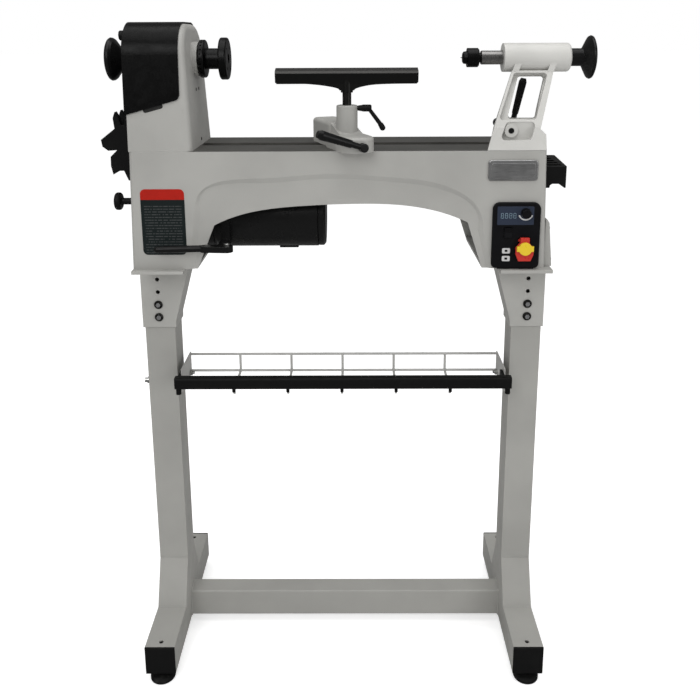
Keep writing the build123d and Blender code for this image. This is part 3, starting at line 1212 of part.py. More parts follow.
with BuildPart() as quill:
    rod((quill_x[0], 0, spindle_z), (quill_x[1], 0, spindle_z), quill_radius)
    chamfer(quill.edges().filter_by(GeomType.CIRCLE).sort_by(Axis.X)[0], 1.2)
    rod((quill_x[0], 0, spindle_z), (quill_x[0] + 34.0, 0, spindle_z), 8.9, 8.1,
        mode=Mode.SUBTRACT)
    rod((quill_bore_end, 0, spindle_z), (quill_x[1], 0, spindle_z), screw_radius + 0.1,
        mode=Mode.SUBTRACT)
    block((quill_x[0] + 14.0, -1.6, spindle_z + quill_radius - 1.6),
          (quill_x[1] - 8.0, 1.6, spindle_z + quill_radius + 1.0), mode=Mode.SUBTRACT)
finish_piece(quill, "quill")

hub_x = barrel_x[1] + 0.4
with BuildPart() as quill_screw:
    rod((quill_bore_end + 3.0, 0, spindle_z), (hub_x + 14.0, 0, spindle_z), screw_radius)
finish_piece(quill_screw, "quill_screw")

with BuildPart() as tailstock_handwheel:
    turned([(hub_x, 16.2), (426.5, 16.2), (437.0, 35.0), (439.0, 38.2), (441.5, 39.5),
            (443.8, 38.6), (end_x, 36.0)])
    rod((431.0, 0, spindle_z), (end_x, 0, spindle_z), 10.0, 30.0, mode=Mode.SUBTRACT)
    rod((hub_x, 0, spindle_z), (hub_x + 14.0, 0, spindle_z), screw_radius, mode=Mode.SUBTRACT)
finish_piece(tailstock_handwheel, "tailstock_handwheel")

centre_x = (203.5, 236.8)
centre_split = 215.5                      # where the turning nose meets the fixed body
nose_bore_end, nose_journal = 229.0, 8.0
with BuildPart() as live_centre_body:
    turned([(centre_split, 17.5), (centre_x[1] - 2.0, 17.5), (centre_x[1], 15.5)])
    rod((centre_x[1], 0, spindle_z), (quill_x[0] + 0.1, 0, spindle_z), 8.6)
    rod((quill_x[0] + 0.1, 0, spindle_z), (quill_x[0] + 32.0, 0, spindle_z), 8.8, 8.0)
    rod((centre_split, 0, spindle_z), (nose_bore_end, 0, spindle_z), nose_journal + running,
        mode=Mode.SUBTRACT)
finish_piece(live_centre_body, "live_centre_body")

with BuildPart() as live_centre_nose:
    turned([(centre_x[0], 0.4), (centre_x[0] + 3.4, 1.2), (centre_x[0] + 3.5, 8.4),
            (centre_x[0] + 5.5, 11.0), (centre_split - 0.3, 12.0),
            (centre_split - 0.3, nose_journal), (nose_bore_end - 0.2, nose_journal)])
finish_piece(live_centre_nose, "live_centre_nose")
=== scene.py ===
import math

import bmesh
import bpy
from mathutils import Matrix, Vector


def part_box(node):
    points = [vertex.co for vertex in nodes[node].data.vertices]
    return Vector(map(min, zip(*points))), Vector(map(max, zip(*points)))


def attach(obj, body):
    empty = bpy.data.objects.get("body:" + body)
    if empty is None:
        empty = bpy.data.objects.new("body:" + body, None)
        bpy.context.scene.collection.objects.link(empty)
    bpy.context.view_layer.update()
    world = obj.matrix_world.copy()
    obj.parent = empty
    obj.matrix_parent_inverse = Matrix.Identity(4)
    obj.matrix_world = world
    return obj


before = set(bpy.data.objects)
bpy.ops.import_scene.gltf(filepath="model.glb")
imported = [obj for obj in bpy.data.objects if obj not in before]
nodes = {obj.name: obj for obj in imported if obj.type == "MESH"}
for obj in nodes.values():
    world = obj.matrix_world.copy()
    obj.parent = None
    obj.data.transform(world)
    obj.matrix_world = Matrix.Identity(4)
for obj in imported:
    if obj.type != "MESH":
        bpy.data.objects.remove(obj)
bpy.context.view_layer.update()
MM = 0.001


# ---------------------------------------------------------------- node materials
class Shader:
    """A node material built in code. Each method adds one node and returns its output."""

    def __init__(self, name, roughness=0.5, metallic=0.0):
        self.material = bpy.data.materials.new(name)
        self.material.use_nodes = True
        self.tree = self.material.node_tree
        self.surface = self.tree.nodes["Principled BSDF"]
        self.set(Roughness=roughness, Metallic=metallic)

    def connect(self, socket, value):
        """Links an output to a socket, or writes a plain value into it."""
        if isinstance(value, bpy.types.NodeSocket):
            self.tree.links.new(value, socket)
        else:
            socket.default_value = value

    def set(self, **inputs):
        """Sets the surface's inputs by name, with _ for a space."""
        for name, value in inputs.items():
            self.connect(self.surface.inputs[name.replace("_", " ")], value)

    def add(self, kind, inputs=(), output=0, **settings):
        """Adds one node of a kind, with its settings and its inputs by name or number."""
        node = self.tree.nodes.new("ShaderNode" + kind)
        for name, value in settings.items():
            setattr(node, name, value)
        for name, value in dict(inputs).items():
            self.connect(node.inputs[name], value)
        return node.outputs[output]

    def place(self):
        """The position on the piece, in metres, which moves with the piece."""
        return self.add("TexCoord", output="Object")

    def split(self, vector, axis):
        """One component of a vector, 0 for X, 1 for Y or 2 for Z."""
        return self.add("SeparateXYZ", {0: vector}, output=axis)

    def stretched(self, scale):
        """The position scaled differently along X, Y and Z."""
        return self.add("Mapping", {"Vector": self.place(), "Scale": scale})

    def noise(self, scale, detail=2.0, vector=None, roughness=0.5):
        inputs = {"Vector": vector or self.place(), "Scale": scale, "Detail": detail,
                  "Roughness": roughness}
        return self.add("TexNoise", inputs, output="Fac")

    def maths(self, operation, first, second=0.0):
        return self.add("Math", {0: first, 1: second}, operation=operation)

    def spread(self, value, low, high, new_low=0.0, new_high=1.0):
        """Maps a value from one range to another, clamped."""
        inputs = {"Value": value, "From Min": low, "From Max": high, "To Min": new_low,
                  "To Max": new_high}
        return self.add("MapRange", inputs)

    def mix(self, share, first, second):
        """Mixes two colours."""
        inputs = {"Factor": share, 6: rgba(first), 7: rgba(second)}
        return self.add("Mix", inputs, output=2, data_type="RGBA")

    def bump(self, height, depth, normal=None, strength=1.0):
        inputs = {"Height": height, "Distance": depth, "Strength": strength}
        if normal is not None:
            inputs["Normal"] = normal
        return self.add("Bump", inputs)

    def soft_normal(self, radius):
        """A normal that rounds off sharp edges within a radius."""
        return self.add("Bevel", {"Radius": radius}, samples=6)

    def edges(self, radius):
        """A mask that is 1 along sharp edges and 0 elsewhere."""
        rounded = self.add("Bevel", {"Radius": radius}, samples=6)
        flat = self.add("NewGeometry", output="Normal")
        facing = self.add("VectorMath", {0: rounded, 1: flat}, output="Value",
                          operation="DOT_PRODUCT")
        return self.spread(facing, 0.995, 0.9)


def rgba(colour):
    """A colour with its opacity, or an output unchanged."""
    if isinstance(colour, bpy.types.NodeSocket) or len(colour) == 4:
        return colour
    return (*colour, 1.0)


def paint(name, colour, roughness=0.42, peel=0.00012, edge_radius=1.2 * MM, variation=0.06,
          shine=0.5):
    """Sprayed or powder-coated paint: orange peel, faint cloudy tone, brighter rubbed edges."""
    shader = Shader(name)
    shader.set(Specular_IOR_Level=shine)
    clouds = shader.noise(7.0, 3.0)
    speckle = shader.noise(900.0, 1.0)
    darker = tuple(c * (1.0 - variation) for c in colour)
    lighter = tuple(min(1.0, c * (1.0 + variation)) for c in colour)
    tone = shader.mix(shader.spread(clouds, 0.35, 0.65), darker, lighter)
    tone = shader.mix(shader.spread(speckle, 0.62, 0.8, 0.0, 0.35), tone,
                      tuple(c * 0.8 for c in colour))
    rubbed = tuple(min(1.0, c * 1.2 + 0.004) for c in colour)
    tone = shader.mix(shader.maths("MULTIPLY", shader.edges(edge_radius), 0.35), tone, rubbed)
    shader.set(Base_Color=tone)
    shader.set(Roughness=shader.spread(shader.noise(40.0, 3.0), 0.3, 0.7, roughness - 0.06,
                                       roughness + 0.08))
    normal = shader.bump(shader.noise(420.0, 2.0), peel, shader.soft_normal(edge_radius))
    shader.set(Normal=normal)
    return shader


def plastic(name, colour, roughness=0.45, grain=0.00006, edge_radius=0.8 * MM, shine=0.2):
    """Moulded plastic: a fine grain, faint handling marks and slightly greyed edges."""
    shader = Shader(name)
    shader.set(Specular_IOR_Level=shine)
    worn = tuple(min(1.0, c * 1.5 + 0.006) for c in colour)
    marks = shader.spread(shader.noise(25.0, 5.0, roughness=0.7), 0.55, 0.75, 0.0, 0.25)
    tone = shader.mix(marks, colour, worn)
    tone = shader.mix(shader.maths("MULTIPLY", shader.edges(edge_radius), 0.5), tone, worn)
    shader.set(Base_Color=tone)
    shader.set(Roughness=shader.spread(shader.noise(60.0, 4.0), 0.3, 0.7, roughness - 0.08,
                                       roughness + 0.1))
    cells = shader.add("TexVoronoi", {"Vector": shader.place(), "Scale": 1500.0})
    shader.set(Normal=shader.bump(cells, grain, shader.soft_normal(edge_radius)))
    return shader


def turned_metal(name, colour, roughness=0.28, line_axis="X", edge_radius=0.5 * MM):
    """Bare machined metal with fine tool lines round an axis, smudges and bright edges."""
    shader = Shader(name, metallic=1.0)
    fine, coarse = 2600.0, 60.0
    scale = {"X": (fine, coarse, coarse), "Y": (coarse, fine, coarse),
             "Z": (coarse, coarse, fine)}[line_axis]
    lines = shader.noise(1.0, 2.0, shader.stretched(scale))
    smudge = shader.noise(30.0, 4.0)
    darker = tuple(c * 0.72 for c in colour)
    tone = shader.mix(shader.spread(smudge, 0.35, 0.7), colour, darker)
    shader.set(Base_Color=tone)
    shader.set(Roughness=shader.spread(lines, 0.3, 0.7, roughness - 0.08, roughness + 0.12))
    shader.set(Normal=shader.bump(lines, 0.00004, shader.soft_normal(edge_radius), 0.6))
    return shader


def casting_with_ways(name, colour):
    """The bed's paint, with the ways on top machined to bare dark iron, and the slot's walls in the same
    dark iron: partly bare walls, partly painted shade in the narrow slot.
    """
    shader = paint(name, colour)
    painted = shader.surface
    iron = shader.tree.nodes.new("ShaderNodeBsdfPrincipled")
    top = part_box("bed_casting")[1].z
    height = shader.split(shader.place(), 2)
    upward = shader.split(shader.add("NewGeometry", output="Normal"), 2)
    on_top = shader.maths("MULTIPLY", shader.spread(height, top - 0.0012, top - 0.0006),
                          shader.spread(upward, 0.7, 0.9))
    # the slot's walls take the dark iron too: partly bare machined walls, partly painted shade in the
    # narrow slot
    across = shader.maths("ABSOLUTE", shader.split(shader.place(), 1))
    slot_shade_mask = shader.maths("MULTIPLY", shader.spread(across, 0.0185, 0.0175),
                           shader.spread(height, top - 0.022, top - 0.021))
    on_top = shader.maths("MAXIMUM", on_top, slot_shade_mask)
    lines = shader.noise(1.0, 3.0, shader.stretched((12.0, 2200.0, 40.0)))
    stain = shader.noise(9.0, 5.0, roughness=0.65)
    tone = shader.mix(shader.spread(stain, 0.3, 0.7), (0.13, 0.128, 0.118), (0.2, 0.195, 0.18))
    shader.connect(iron.inputs["Base Color"], tone)
    shader.connect(iron.inputs["Metallic"], 0.85)
    shader.connect(iron.inputs["Roughness"], shader.spread(lines, 0.3, 0.7, 0.32, 0.5))
    shader.connect(iron.inputs["Normal"], shader.bump(lines, 0.00005))
    both = shader.add("MixShader", {0: on_top, 1: painted.outputs[0], 2: iron.outputs[0]})
    shader.connect(shader.tree.nodes["Material Output"].inputs["Surface"], both)
    return shader


def rubber(name, colour=(0.012, 0.012, 0.012)):
    """Dull black rubber with a pebbled skin and dusty patches."""
    shader = Shader(name)
    shader.set(Specular_IOR_Level=0.15)
    dust = shader.spread(shader.noise(35.0, 5.0), 0.5, 0.75, 0.0, 0.5)
    shader.set(Base_Color=shader.mix(dust, colour, (0.06, 0.058, 0.055)))
    shader.set(Roughness=shader.spread(dust, 0.0, 0.5, 0.62, 0.85))
    shader.set(Normal=shader.bump(shader.noise(900.0, 2.0), 0.0001,
                                  shader.soft_normal(0.6 * MM)))
    return shader


def label_print(name):
    """A printed label: a red band over a dark field with rows of fine pale lines."""
    shader = Shader(name, roughness=0.4)
    low, high = label_area()
    across = shader.split(shader.place(), 0)
    height = shader.split(shader.place(), 2)
    size = high - low
    share = shader.spread(height, low.z, high.z)
    in_band = shader.maths("GREATER_THAN", share, 0.84)
    rows = shader.maths("FRACT", shader.maths("MULTIPLY", share, 24.0))
    on_row = shader.maths("MULTIPLY", shader.spread(rows, 0.62, 0.66),
                          shader.spread(rows, 0.98, 0.94))
    row_number = shader.maths("FLOOR", shader.maths("MULTIPLY", share, 24.0))
    words = shader.add("CombineXYZ", {0: shader.maths("MULTIPLY", across, 420.0),
                                      1: shader.maths("MULTIPLY", row_number, 7.3)})
    gaps = shader.spread(shader.noise(1.0, 0.0, words), 0.4, 0.44)
    margin = size.x * 0.07
    inside = shader.maths("MULTIPLY", shader.spread(across, low.x + margin, low.x + margin + 0.0005),
                          shader.spread(across, high.x - margin, high.x - margin - 0.0005))
    ink = shader.maths("MULTIPLY", shader.maths("MULTIPLY", on_row, gaps), inside)
    ink = shader.maths("MULTIPLY", ink, shader.spread(share, 0.78, 0.76))
    field = shader.mix(shader.maths("MULTIPLY", ink, 0.11), (0.009, 0.0135, 0.0135),
                       (0.4, 0.4, 0.4))
    faded = shader.mix(shader.noise(60.0, 3.0), (0.42, 0.012, 0.006), (0.3, 0.01, 0.005))
    shader.set(Base_Color=shader.mix(in_band, field, faded), Specular_IOR_Level=0.15)
    return shader


def blade_steel(name):
    """Dark steel of the tool rest, brighter where it faces up: painted light from above, with some rubbing
    wear on top.
    """
    shader = turned_metal(name, (0.03, 0.03, 0.03), 0.38)
    # faces turned up are painted lighter: painted light from above, partly rubbing wear
    upward = shader.split(shader.add("NewGeometry", output="Normal"), 2)
    shader.set(Base_Color=shader.mix(shader.spread(upward, 0.3, 0.8), (0.03, 0.03, 0.029),
                                     (0.1, 0.098, 0.094)))
    return shader


def label_area():
    """Lowest and highest corner of the information label on the bed's front."""
    low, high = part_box("bed_casting")
    left = low.x + 22.0 * MM
    bottom = low.z + 27.5 * MM
    face = low.y
    return Vector((left, face - 0.5 * MM, bottom)), Vector((left + 79.0 * MM, face,
                                                             bottom + 121.5 * MM))


casting_grey = (0.345, 0.341, 0.322)
materials = {
    "casting": casting_with_ways("casting_paint", casting_grey),
    "casting_plain": paint("casting_paint_plain", casting_grey),
    "off_white": paint("off_white_paint", (0.5, 0.495, 0.472)),
    "stand": paint("stand_paint", (0.325, 0.321, 0.301)),
    "bracket": paint("bracket_paint", (0.37, 0.366, 0.345)),
    "black_paint": paint("black_paint", (0.006, 0.006, 0.006), 0.3, shine=0.2),
    "black_plastic": plastic("black_plastic", (0.005, 0.005, 0.005), shine=0.15),
    "cover_plastic": plastic("cover_plastic", (0.003, 0.003, 0.003), 0.26, shine=0.09),
    "panel_plastic": plastic("panel_plastic", (0.004, 0.004, 0.005), 0.4, shine=0.15),
    "red_plastic": plastic("red_plastic", (0.5, 0.03, 0.02), 0.32, shine=0.4),
    "yellow_plastic": plastic("yellow_plastic", (0.7, 0.5, 0.02), 0.32, shine=0.4),
    "wire": paint("wire_enamel", (0.42, 0.416, 0.4), 0.35, 0.00005, 0.4 * MM),
    "steel": turned_metal("turned_steel", (0.3, 0.294, 0.288)),
    "zinc": turned_metal("zinc_plate", (0.5, 0.5, 0.485), 0.22),
    "dark_steel": turned_metal("dark_steel", (0.045, 0.044, 0.042), 0.36),
    "blade_steel": blade_steel("blade_steel"),
    "black_oxide": turned_metal("black_oxide", (0.02, 0.02, 0.02), 0.34),
    "alloy": turned_metal("turned_alloy", (0.7, 0.7, 0.71), 0.3),
    "silver": turned_metal("brushed_plate", (0.55, 0.55, 0.55), 0.34, "Z"),
    "rubber": rubber("rubber", (0.005, 0.005, 0.005)),
    "label": label_print("label_print"),
    "display": plastic("display_window", (0.026, 0.033, 0.052), 0.18, 0.0, shine=0.15),
    "digits": plastic("display_digits", (0.16, 0.23, 0.28), 0.3, 0.0),
    "white_mark": plastic("white_marking", (0.5, 0.5, 0.5), 0.5, 0.0),
    "border_line": plastic("border_line", (0.14, 0.14, 0.14), 0.6, 0.0),
    # near-black for the plate under the cover's edge: painted shadow of the finger recess
    "recess": plastic("recess_shadow", (0.02, 0.02, 0.019), 0.8, 0.0),
    # near-black: painted shade in screw sockets and in the small bores of the headstock face, and also the
    # real dark quill graduations
    "socket": plastic("shade_and_mark_black", (0.002, 0.002, 0.002), 0.8, 0.0),
}

node_materials = {
    "left_leg": "stand", "right_leg": "stand", "cross_beam": "stand",
    "left_top_bracket": "bracket", "right_top_bracket": "bracket",
    "foot_end_caps": "black_plastic", "shelf_tray": "wire", "shelf_front_bar": "black_plastic",
    "shelf_bolts": "zinc", "bracket_bolts": "dark_steel", "bed_mount_bolts": "zinc",
    "bed_casting": "casting", "headstock_casting": "casting_plain",
    "headstock_end_panel": "black_plastic", "spindle_bearings": "steel",
    "cover_hinge": "black_paint", "motor_pivot_pin": "steel", "drive_belt": "rubber",
    "left_tool_holder": "black_plastic", "right_tool_holder": "black_plastic",
    "controller_box": "casting_plain", "nameplate": "silver",
    "control_panel": "panel_plastic", "belt_cover": "cover_plastic",
    "cover_latch_knob": "black_plastic", "spindle": "steel", "spindle_pulley": "alloy",
    "index_ring": "black_oxide", "faceplate": "black_oxide", "outboard_handwheel": "black_paint",
    "motor_housing": "black_paint", "motor_end_bell": "black_paint",
    "motor_mount_plate": "black_paint", "tension_lever": "black_paint",
    "motor_shaft": "steel", "motor_pulley": "alloy", "motor_lock_knob": "black_plastic",
    "speed_knob": "panel_plastic", "direction_rocker": "panel_plastic",
    "power_paddle": "red_plastic", "safety_key": "yellow_plastic",
    "banjo_clamp_plate": "dark_steel", "banjo_eye_bolt": "steel",
    "banjo_casting": "casting_plain", "banjo_cam_lever": "black_paint",
    "tool_rest_post": "dark_steel", "tool_rest_blade": "blade_steel",
    "tool_rest_lock_lever": "black_plastic", "tailstock_casting": "off_white",
    "tailstock_clamp": "dark_steel", "tailstock_cam_lever": "black_paint",
    "quill": "steel", "quill_screw": "steel", "tailstock_handwheel": "black_paint",
    "live_centre_body": "black_oxide", "live_centre_nose": "black_oxide",
}


def dress_cad_nodes():
    """Gives every CAD node its material; nodes left out of the table get rubber."""
    for name, node in nodes.items():
        key = node_materials.get(name, "rubber")
        node.data.materials.clear()
        node.data.materials.append(materials[key].material)


dress_cad_nodes()


# ---------------------------------------------------------------- shared shapes for the pieces
def outlook(spot, outward, up=(0.0, 0.0, 1.0)):
    """A local frame at a spot: Z looks outward, Y is up and X is to the right."""
    z = Vector(outward).normalized()
    x = Vector(up).cross(z).normalized()
    y = z.cross(x)
    turn = Matrix((x, y, z)).transposed().to_4x4()
    return Matrix.Translation(spot) @ turn


def ring(radius, z, count=28):
    """A level circle of points."""
    return [(radius * math.cos(math.tau * step / count), radius * math.sin(math.tau * step / count), z)
            for step in range(count)]


def rounded(width, height, corner, z, steps=5):
    """A level rectangle of points with rounded corners."""
    points = []
    for quarter, (side_x, side_y) in enumerate(((1, 1), (-1, 1), (-1, -1), (1, -1))):
        middle_x = side_x * (width / 2 - corner)
        middle_y = side_y * (height / 2 - corner)
        for step in range(steps + 1):
            angle = math.pi / 2 * (quarter + step / steps)
            points.append((middle_x + corner * math.cos(angle),
                           middle_y + corner * math.sin(angle), z))
    return points


def skin(shape, loops, place):
    """Joins loops of equally many points one after another into a closed solid."""
    rows = [[shape.verts.new(place @ Vector(point)) for point in loop] for loop in loops]
    count = len(rows[0])
    for first, second in zip(rows, rows[1:]):
        for number in range(count):
            after = (number + 1) % count
            shape.faces.new((first[number], first[after], second[after], second[number]))
    shape.faces.new(rows[0][::-1])
    shape.faces.new(rows[-1])


def plate(shape, place, width, height, thick, corner, edge=0.0):
    """A thin plate with rounded corners, softened round its front edge."""
    loops = [rounded(width, height, corner, 0.0)]
    if edge:
        loops.append(rounded(width, height, corner, thick - edge))
        loops.append(rounded(width - 2 * edge, height - 2 * edge, corner - edge, thick))
    else:
        loops.append(rounded(width, height, corner, thick))
    skin(shape, loops, place)


def turned_solid(shape, place, profile, count=28):
    """A body of revolution about local Z, from (z, radius) points."""
    skin(shape, [ring(radius, z, count) for z, radius in profile], place)


def piece(name, body, material, shape, crease=40.0):
    """Turns a finished shape into a named piece that rides on a body."""
    bmesh.ops.recalc_face_normals(shape, faces=shape.faces)
    mesh = bpy.data.meshes.new(name)
    shape.to_mesh(mesh)
    shape.free()
    for face in mesh.polygons:
        face.use_smooth = True
    mesh.set_sharp_from_angle(angle=math.radians(crease))
    mesh.materials.append(materials[material].material)
    made = bpy.data.objects.new(name, mesh)
    bpy.context.scene.collection.objects.link(made)
    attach(made, body)
    return made


def socket_screw(head, socket_shade, place, radius, height):
    """A button-head screw: the head in one shape, and in another a dark hexagon a little proud of the
    head, the painted shade of its socket.
    """
    turned_solid(head, place, [(0.0, radius), (height * 0.55, radius), (height, radius * 0.72)])
    # the dark hexagon stands a little proud of the head: painted shade of the socket
    turned_solid(socket_shade, place, [(height - 0.2 * MM, radius * 0.46), (height + 0.12 * MM, radius * 0.46)], 6)


# ---------------------------------------------------------------- pieces on the bed
FRONT, BACK, LEFT, RIGHT, UP = (0, -1, 0), (0, 1, 0), (-1, 0, 0), (1, 0, 0), (0, 0, 1)


def make_label():
    """The information label, low on the left of the bed's front."""
    low, high = label_area()
    middle = (low + high) / 2
    shape = bmesh.new()
    plate(shape, outlook((middle.x, high.y, middle.z), FRONT), high.x - low.x, high.z - low.z,
          0.4 * MM, 8.7 * MM)
    piece("information_label", "lathe_bed", "label", shape)


def make_nameplate_relief():
    """A plain raised field and a dark border line on the nameplate."""
    low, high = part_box("nameplate")
    middle = (low + high) / 2
    width, height = high.x - low.x, high.z - low.z
    border = bmesh.new()
    plate(border, outlook((middle.x, low.y + 0.1 * MM, middle.z), FRONT), width - 9 * MM,
          height - 9 * MM, 0.25 * MM, 3.5 * MM)
    piece("nameplate_border", "lathe_bed", "border_line", border)
    field = bmesh.new()
    plate(field, outlook((middle.x, low.y + 0.1 * MM, middle.z), FRONT), width - 11 * MM,
          height - 11 * MM, 0.6 * MM, 2.5 * MM, 0.2 * MM)
    piece("nameplate_field", "lathe_bed", "silver", field)


def make_panel_face():
    """The display window with dim digits, the speed scale and two small marks."""
    panel_low, panel_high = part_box("control_panel")
    knob_low, knob_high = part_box("speed_knob")
    knob = (knob_low + knob_high) / 2
    face = panel_low.y
    window_low = Vector((panel_low.x + 8 * MM, 0.0, knob.z - 22.0 * MM))
    window_high = Vector((panel_high.x - 12.5 * MM, 0.0, knob.z + 12.0 * MM))
    middle = (window_low + window_high) / 2
    window = bmesh.new()
    plate(window, outlook((middle.x, face, middle.z), FRONT), window_high.x - window_low.x,
          window_high.z - window_low.z, 0.3 * MM, 2.0 * MM)
    piece("panel_window", "lathe_bed", "display", window)

    digits = bmesh.new()
    bar, stroke, digit_height = 4.2 * MM, 0.9 * MM, 9.0 * MM
    for column in range(4):
        x = window_low.x + 9.0 * MM + column * 7.4 * MM
        for row in (-0.5, 0.0, 0.5):
            spot = (x, face - 0.25 * MM, middle.z + row * digit_height)
            plate(digits, outlook(spot, FRONT), bar, stroke, 0.15 * MM, 0.3 * MM)
        for side in (-0.5, 0.5):
            spot = (x + side * bar, face - 0.25 * MM, middle.z)
            plate(digits, outlook(spot, FRONT), stroke, digit_height - stroke, 0.15 * MM, 0.3 * MM)
    piece("panel_digits", "lathe_bed", "digits", digits)

    marks = bmesh.new()
    in_front = 0.25 * MM
    crescent(marks, outlook((knob.x, face - in_front, knob.z), FRONT), 11.2 * MM, 13.8 * MM,
             200.0, 340.0)
    centres = bmesh.new()
    mark_x = panel_low.x + 26.0 * MM
    for row in (0, 1):
        z = knob.z - 70.0 * MM - 14.5 * MM * row
        plate(marks, outlook((mark_x, face, z), FRONT), 14.5 * MM, 10.0 * MM, 0.15 * MM, 2.2 * MM)
        plate(centres, outlook((mark_x, face - 0.1 * MM, z), FRONT), 5.0 * MM, 4.0 * MM, 0.2 * MM,
              1.0 * MM)
    piece("panel_markings", "lathe_bed", "white_mark", marks)
    piece("panel_mark_centres", "lathe_bed", "panel_plastic", centres)


def crescent(shape, place, inner, outer, start, end, thick=0.15 * MM, steps=20):
    """A thin band round part of a circle, between two angles in degrees."""
    around = [math.radians(start + (end - start) * step / steps) for step in range(steps + 1)]
    corners = [(outer * math.cos(angle), outer * math.sin(angle)) for angle in around]
    corners += [(inner * math.cos(angle), inner * math.sin(angle)) for angle in reversed(around)]
    skin(shape, [[(x, y, z) for x, y in corners] for z in (0.0, thick)], place)


def make_bracket_screws():
    """Bright hexagons in the heads of the bolts that clamp the brackets to the posts: a painted highlight
    in each socket.
    """
    low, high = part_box("bracket_bolts")
    radius = 8.25 * MM
    centres = bmesh.new()
    for x in (low.x + radius, high.x - radius):
        for z in (low.z + radius, high.z - radius):
            for face, outward in ((low.y, FRONT), (high.y, BACK)):
                turned_solid(centres, outlook((x, face, z), outward),
                             [(-0.4 * MM, 4.6 * MM), (0.1 * MM, 4.6 * MM)], 6)
    # bright metal hexagons set in the dark heads: painted highlight
    piece("bracket_bolt_socket_glints", "lathe_bed", "alloy", centres)


def make_end_screws():
    """Button-head screws on the end panel and the controller box."""
    heads, socket_shades = bmesh.new(), bmesh.new()
    panel_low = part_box("headstock_end_panel")[0]
    for y in (-0.082, 0.082):
        for height in (14.0, 44.0):
            socket_screw(heads, socket_shades, outlook((panel_low.x, y, panel_low.z + height * MM), LEFT),
                         4.2 * MM, 2.4 * MM)
    box_low, box_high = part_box("controller_box")
    for y in (box_low.y + 11 * MM, box_high.y - 11 * MM):
        for height, inset in ((11.0, 0.7), (70.0, 5.8)):
            socket_screw(heads, socket_shades, outlook((box_high.x - inset * MM, y, box_low.z + height * MM),
                                               (1, 0, 0.087)), 3.6 * MM, 2.0 * MM)
    piece("cover_screws", "lathe_bed", "black_oxide", heads)
    # dark hexagons in the screw heads: painted shade of their sockets
    piece("cover_screw_socket_shades", "lathe_bed", "socket", socket_shades)


def make_hinge_screws():
    """Three countersunk screws in the rail of the cover's hinge."""
    low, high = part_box("cover_hinge")
    shape, socket_shades = bmesh.new(), bmesh.new()
    for share in (0.1, 0.5, 0.9):
        spot = (low.x + share * (high.x - low.x), high.y - 8.6 * MM, low.z + 8.0 * MM)
        socket_screw(shape, socket_shades, outlook(spot, BACK), 3.4 * MM, 1.2 * MM)
    piece("hinge_screws", "lathe_bed", "zinc", shape)
    # dark hexagons in the screw heads: painted shade of their sockets
    piece("hinge_screw_socket_shades", "lathe_bed", "socket", socket_shades)


def make_finger_recess():
    """A dark plate on the headstock along the cover's slanted edge: painted shadow of the finger recess
    there.
    """
    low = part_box("headstock_casting")[0]
    lean = 14.0 / 222.0
    tilt = math.radians(15.0)
    rise = 76.0 * MM
    shape = bmesh.new()
    spot = (low.x + 47.0 * MM, low.y + rise * lean + 0.3 * MM, low.z + rise)
    plate(shape, outlook(spot, (0, -1, lean), (-math.sin(tilt), 0, math.cos(tilt))), 36.0 * MM,
          8.0 * MM, 0.5 * MM, 4.0 * MM)
    # a flat near-black plate: painted shadow under the cover's edge
    piece("finger_recess_shadow", "lathe_bed", "recess", shape)


def make_face_bore_shadows():
    """Dark plugs a little proud in the three small bores of the headstock's right face: painted shade of
    the bores.
    """
    low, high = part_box("headstock_casting")
    lean_back = 10.5 / 222.25
    face_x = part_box("index_ring")[0].x - 3.6 * MM
    shape = bmesh.new()
    for y, rise in ((-10.0, 103.5), (15.0, 103.5), (-3.0, 11.0)):
        spot = (face_x - lean_back * rise * MM, y * MM, low.z + rise * MM)
        # near-black plug slightly proud of the face: painted shade of a bore
        turned_solid(shape, outlook(spot, RIGHT), [(-3.0 * MM, 2.5 * MM), (0.0, 2.5 * MM),
                                                   (0.2 * MM, 3.4 * MM), (0.5 * MM, 3.0 * MM)])
    piece("face_bore_shadow_plugs", "lathe_bed", "socket", shape)


# ---------------------------------------------------------------- pieces on moving parts
def make_lever_screws():
    """The cap screw on the tension lever."""
    low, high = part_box("tension_lever")
    shape, socket_shades = bmesh.new(), bmesh.new()
    top = low.z + 11.4 * MM
    place = outlook((high.x - 11.0 * MM, low.y + 11.0 * MM, top), UP, (0, 1, 0))
    turned_solid(shape, place, [(-0.4 * MM, 5.2 * MM), (5.6 * MM, 5.2 * MM), (6.4 * MM, 4.4 * MM)])
    # a dark hexagon a little proud of the screw head: painted shade of its socket
    turned_solid(socket_shades, place, [(6.0 * MM, 2.6 * MM), (6.5 * MM, 2.6 * MM)], 6)
    piece("tension_lever_screw", "motor", "zinc", shape)
    piece("tension_lever_socket_shade", "motor", "socket", socket_shades)


def make_hub_screw():
    """A set screw in the hub of the outboard handwheel."""
    low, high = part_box("outboard_handwheel")
    axis_z = (low.z + high.z) / 2
    hub_radius = 13.9 * MM
    shape, socket_shades = bmesh.new(), bmesh.new()
    place = outlook((high.x - 7.0 * MM, -hub_radius, axis_z), FRONT)
    turned_solid(shape, place, [(-0.5 * MM, 3.0 * MM), (0.3 * MM, 3.0 * MM)])
    # a dark hexagon a little proud of the screw: painted shade of its socket
    turned_solid(socket_shades, place, [(0.1 * MM, 1.5 * MM), (0.4 * MM, 1.5 * MM)], 6)
    piece("outboard_handwheel_set_screw", "spindle_line", "zinc", shape)
    piece("outboard_handwheel_set_screw_socket_shade", "spindle_line", "socket", socket_shades)


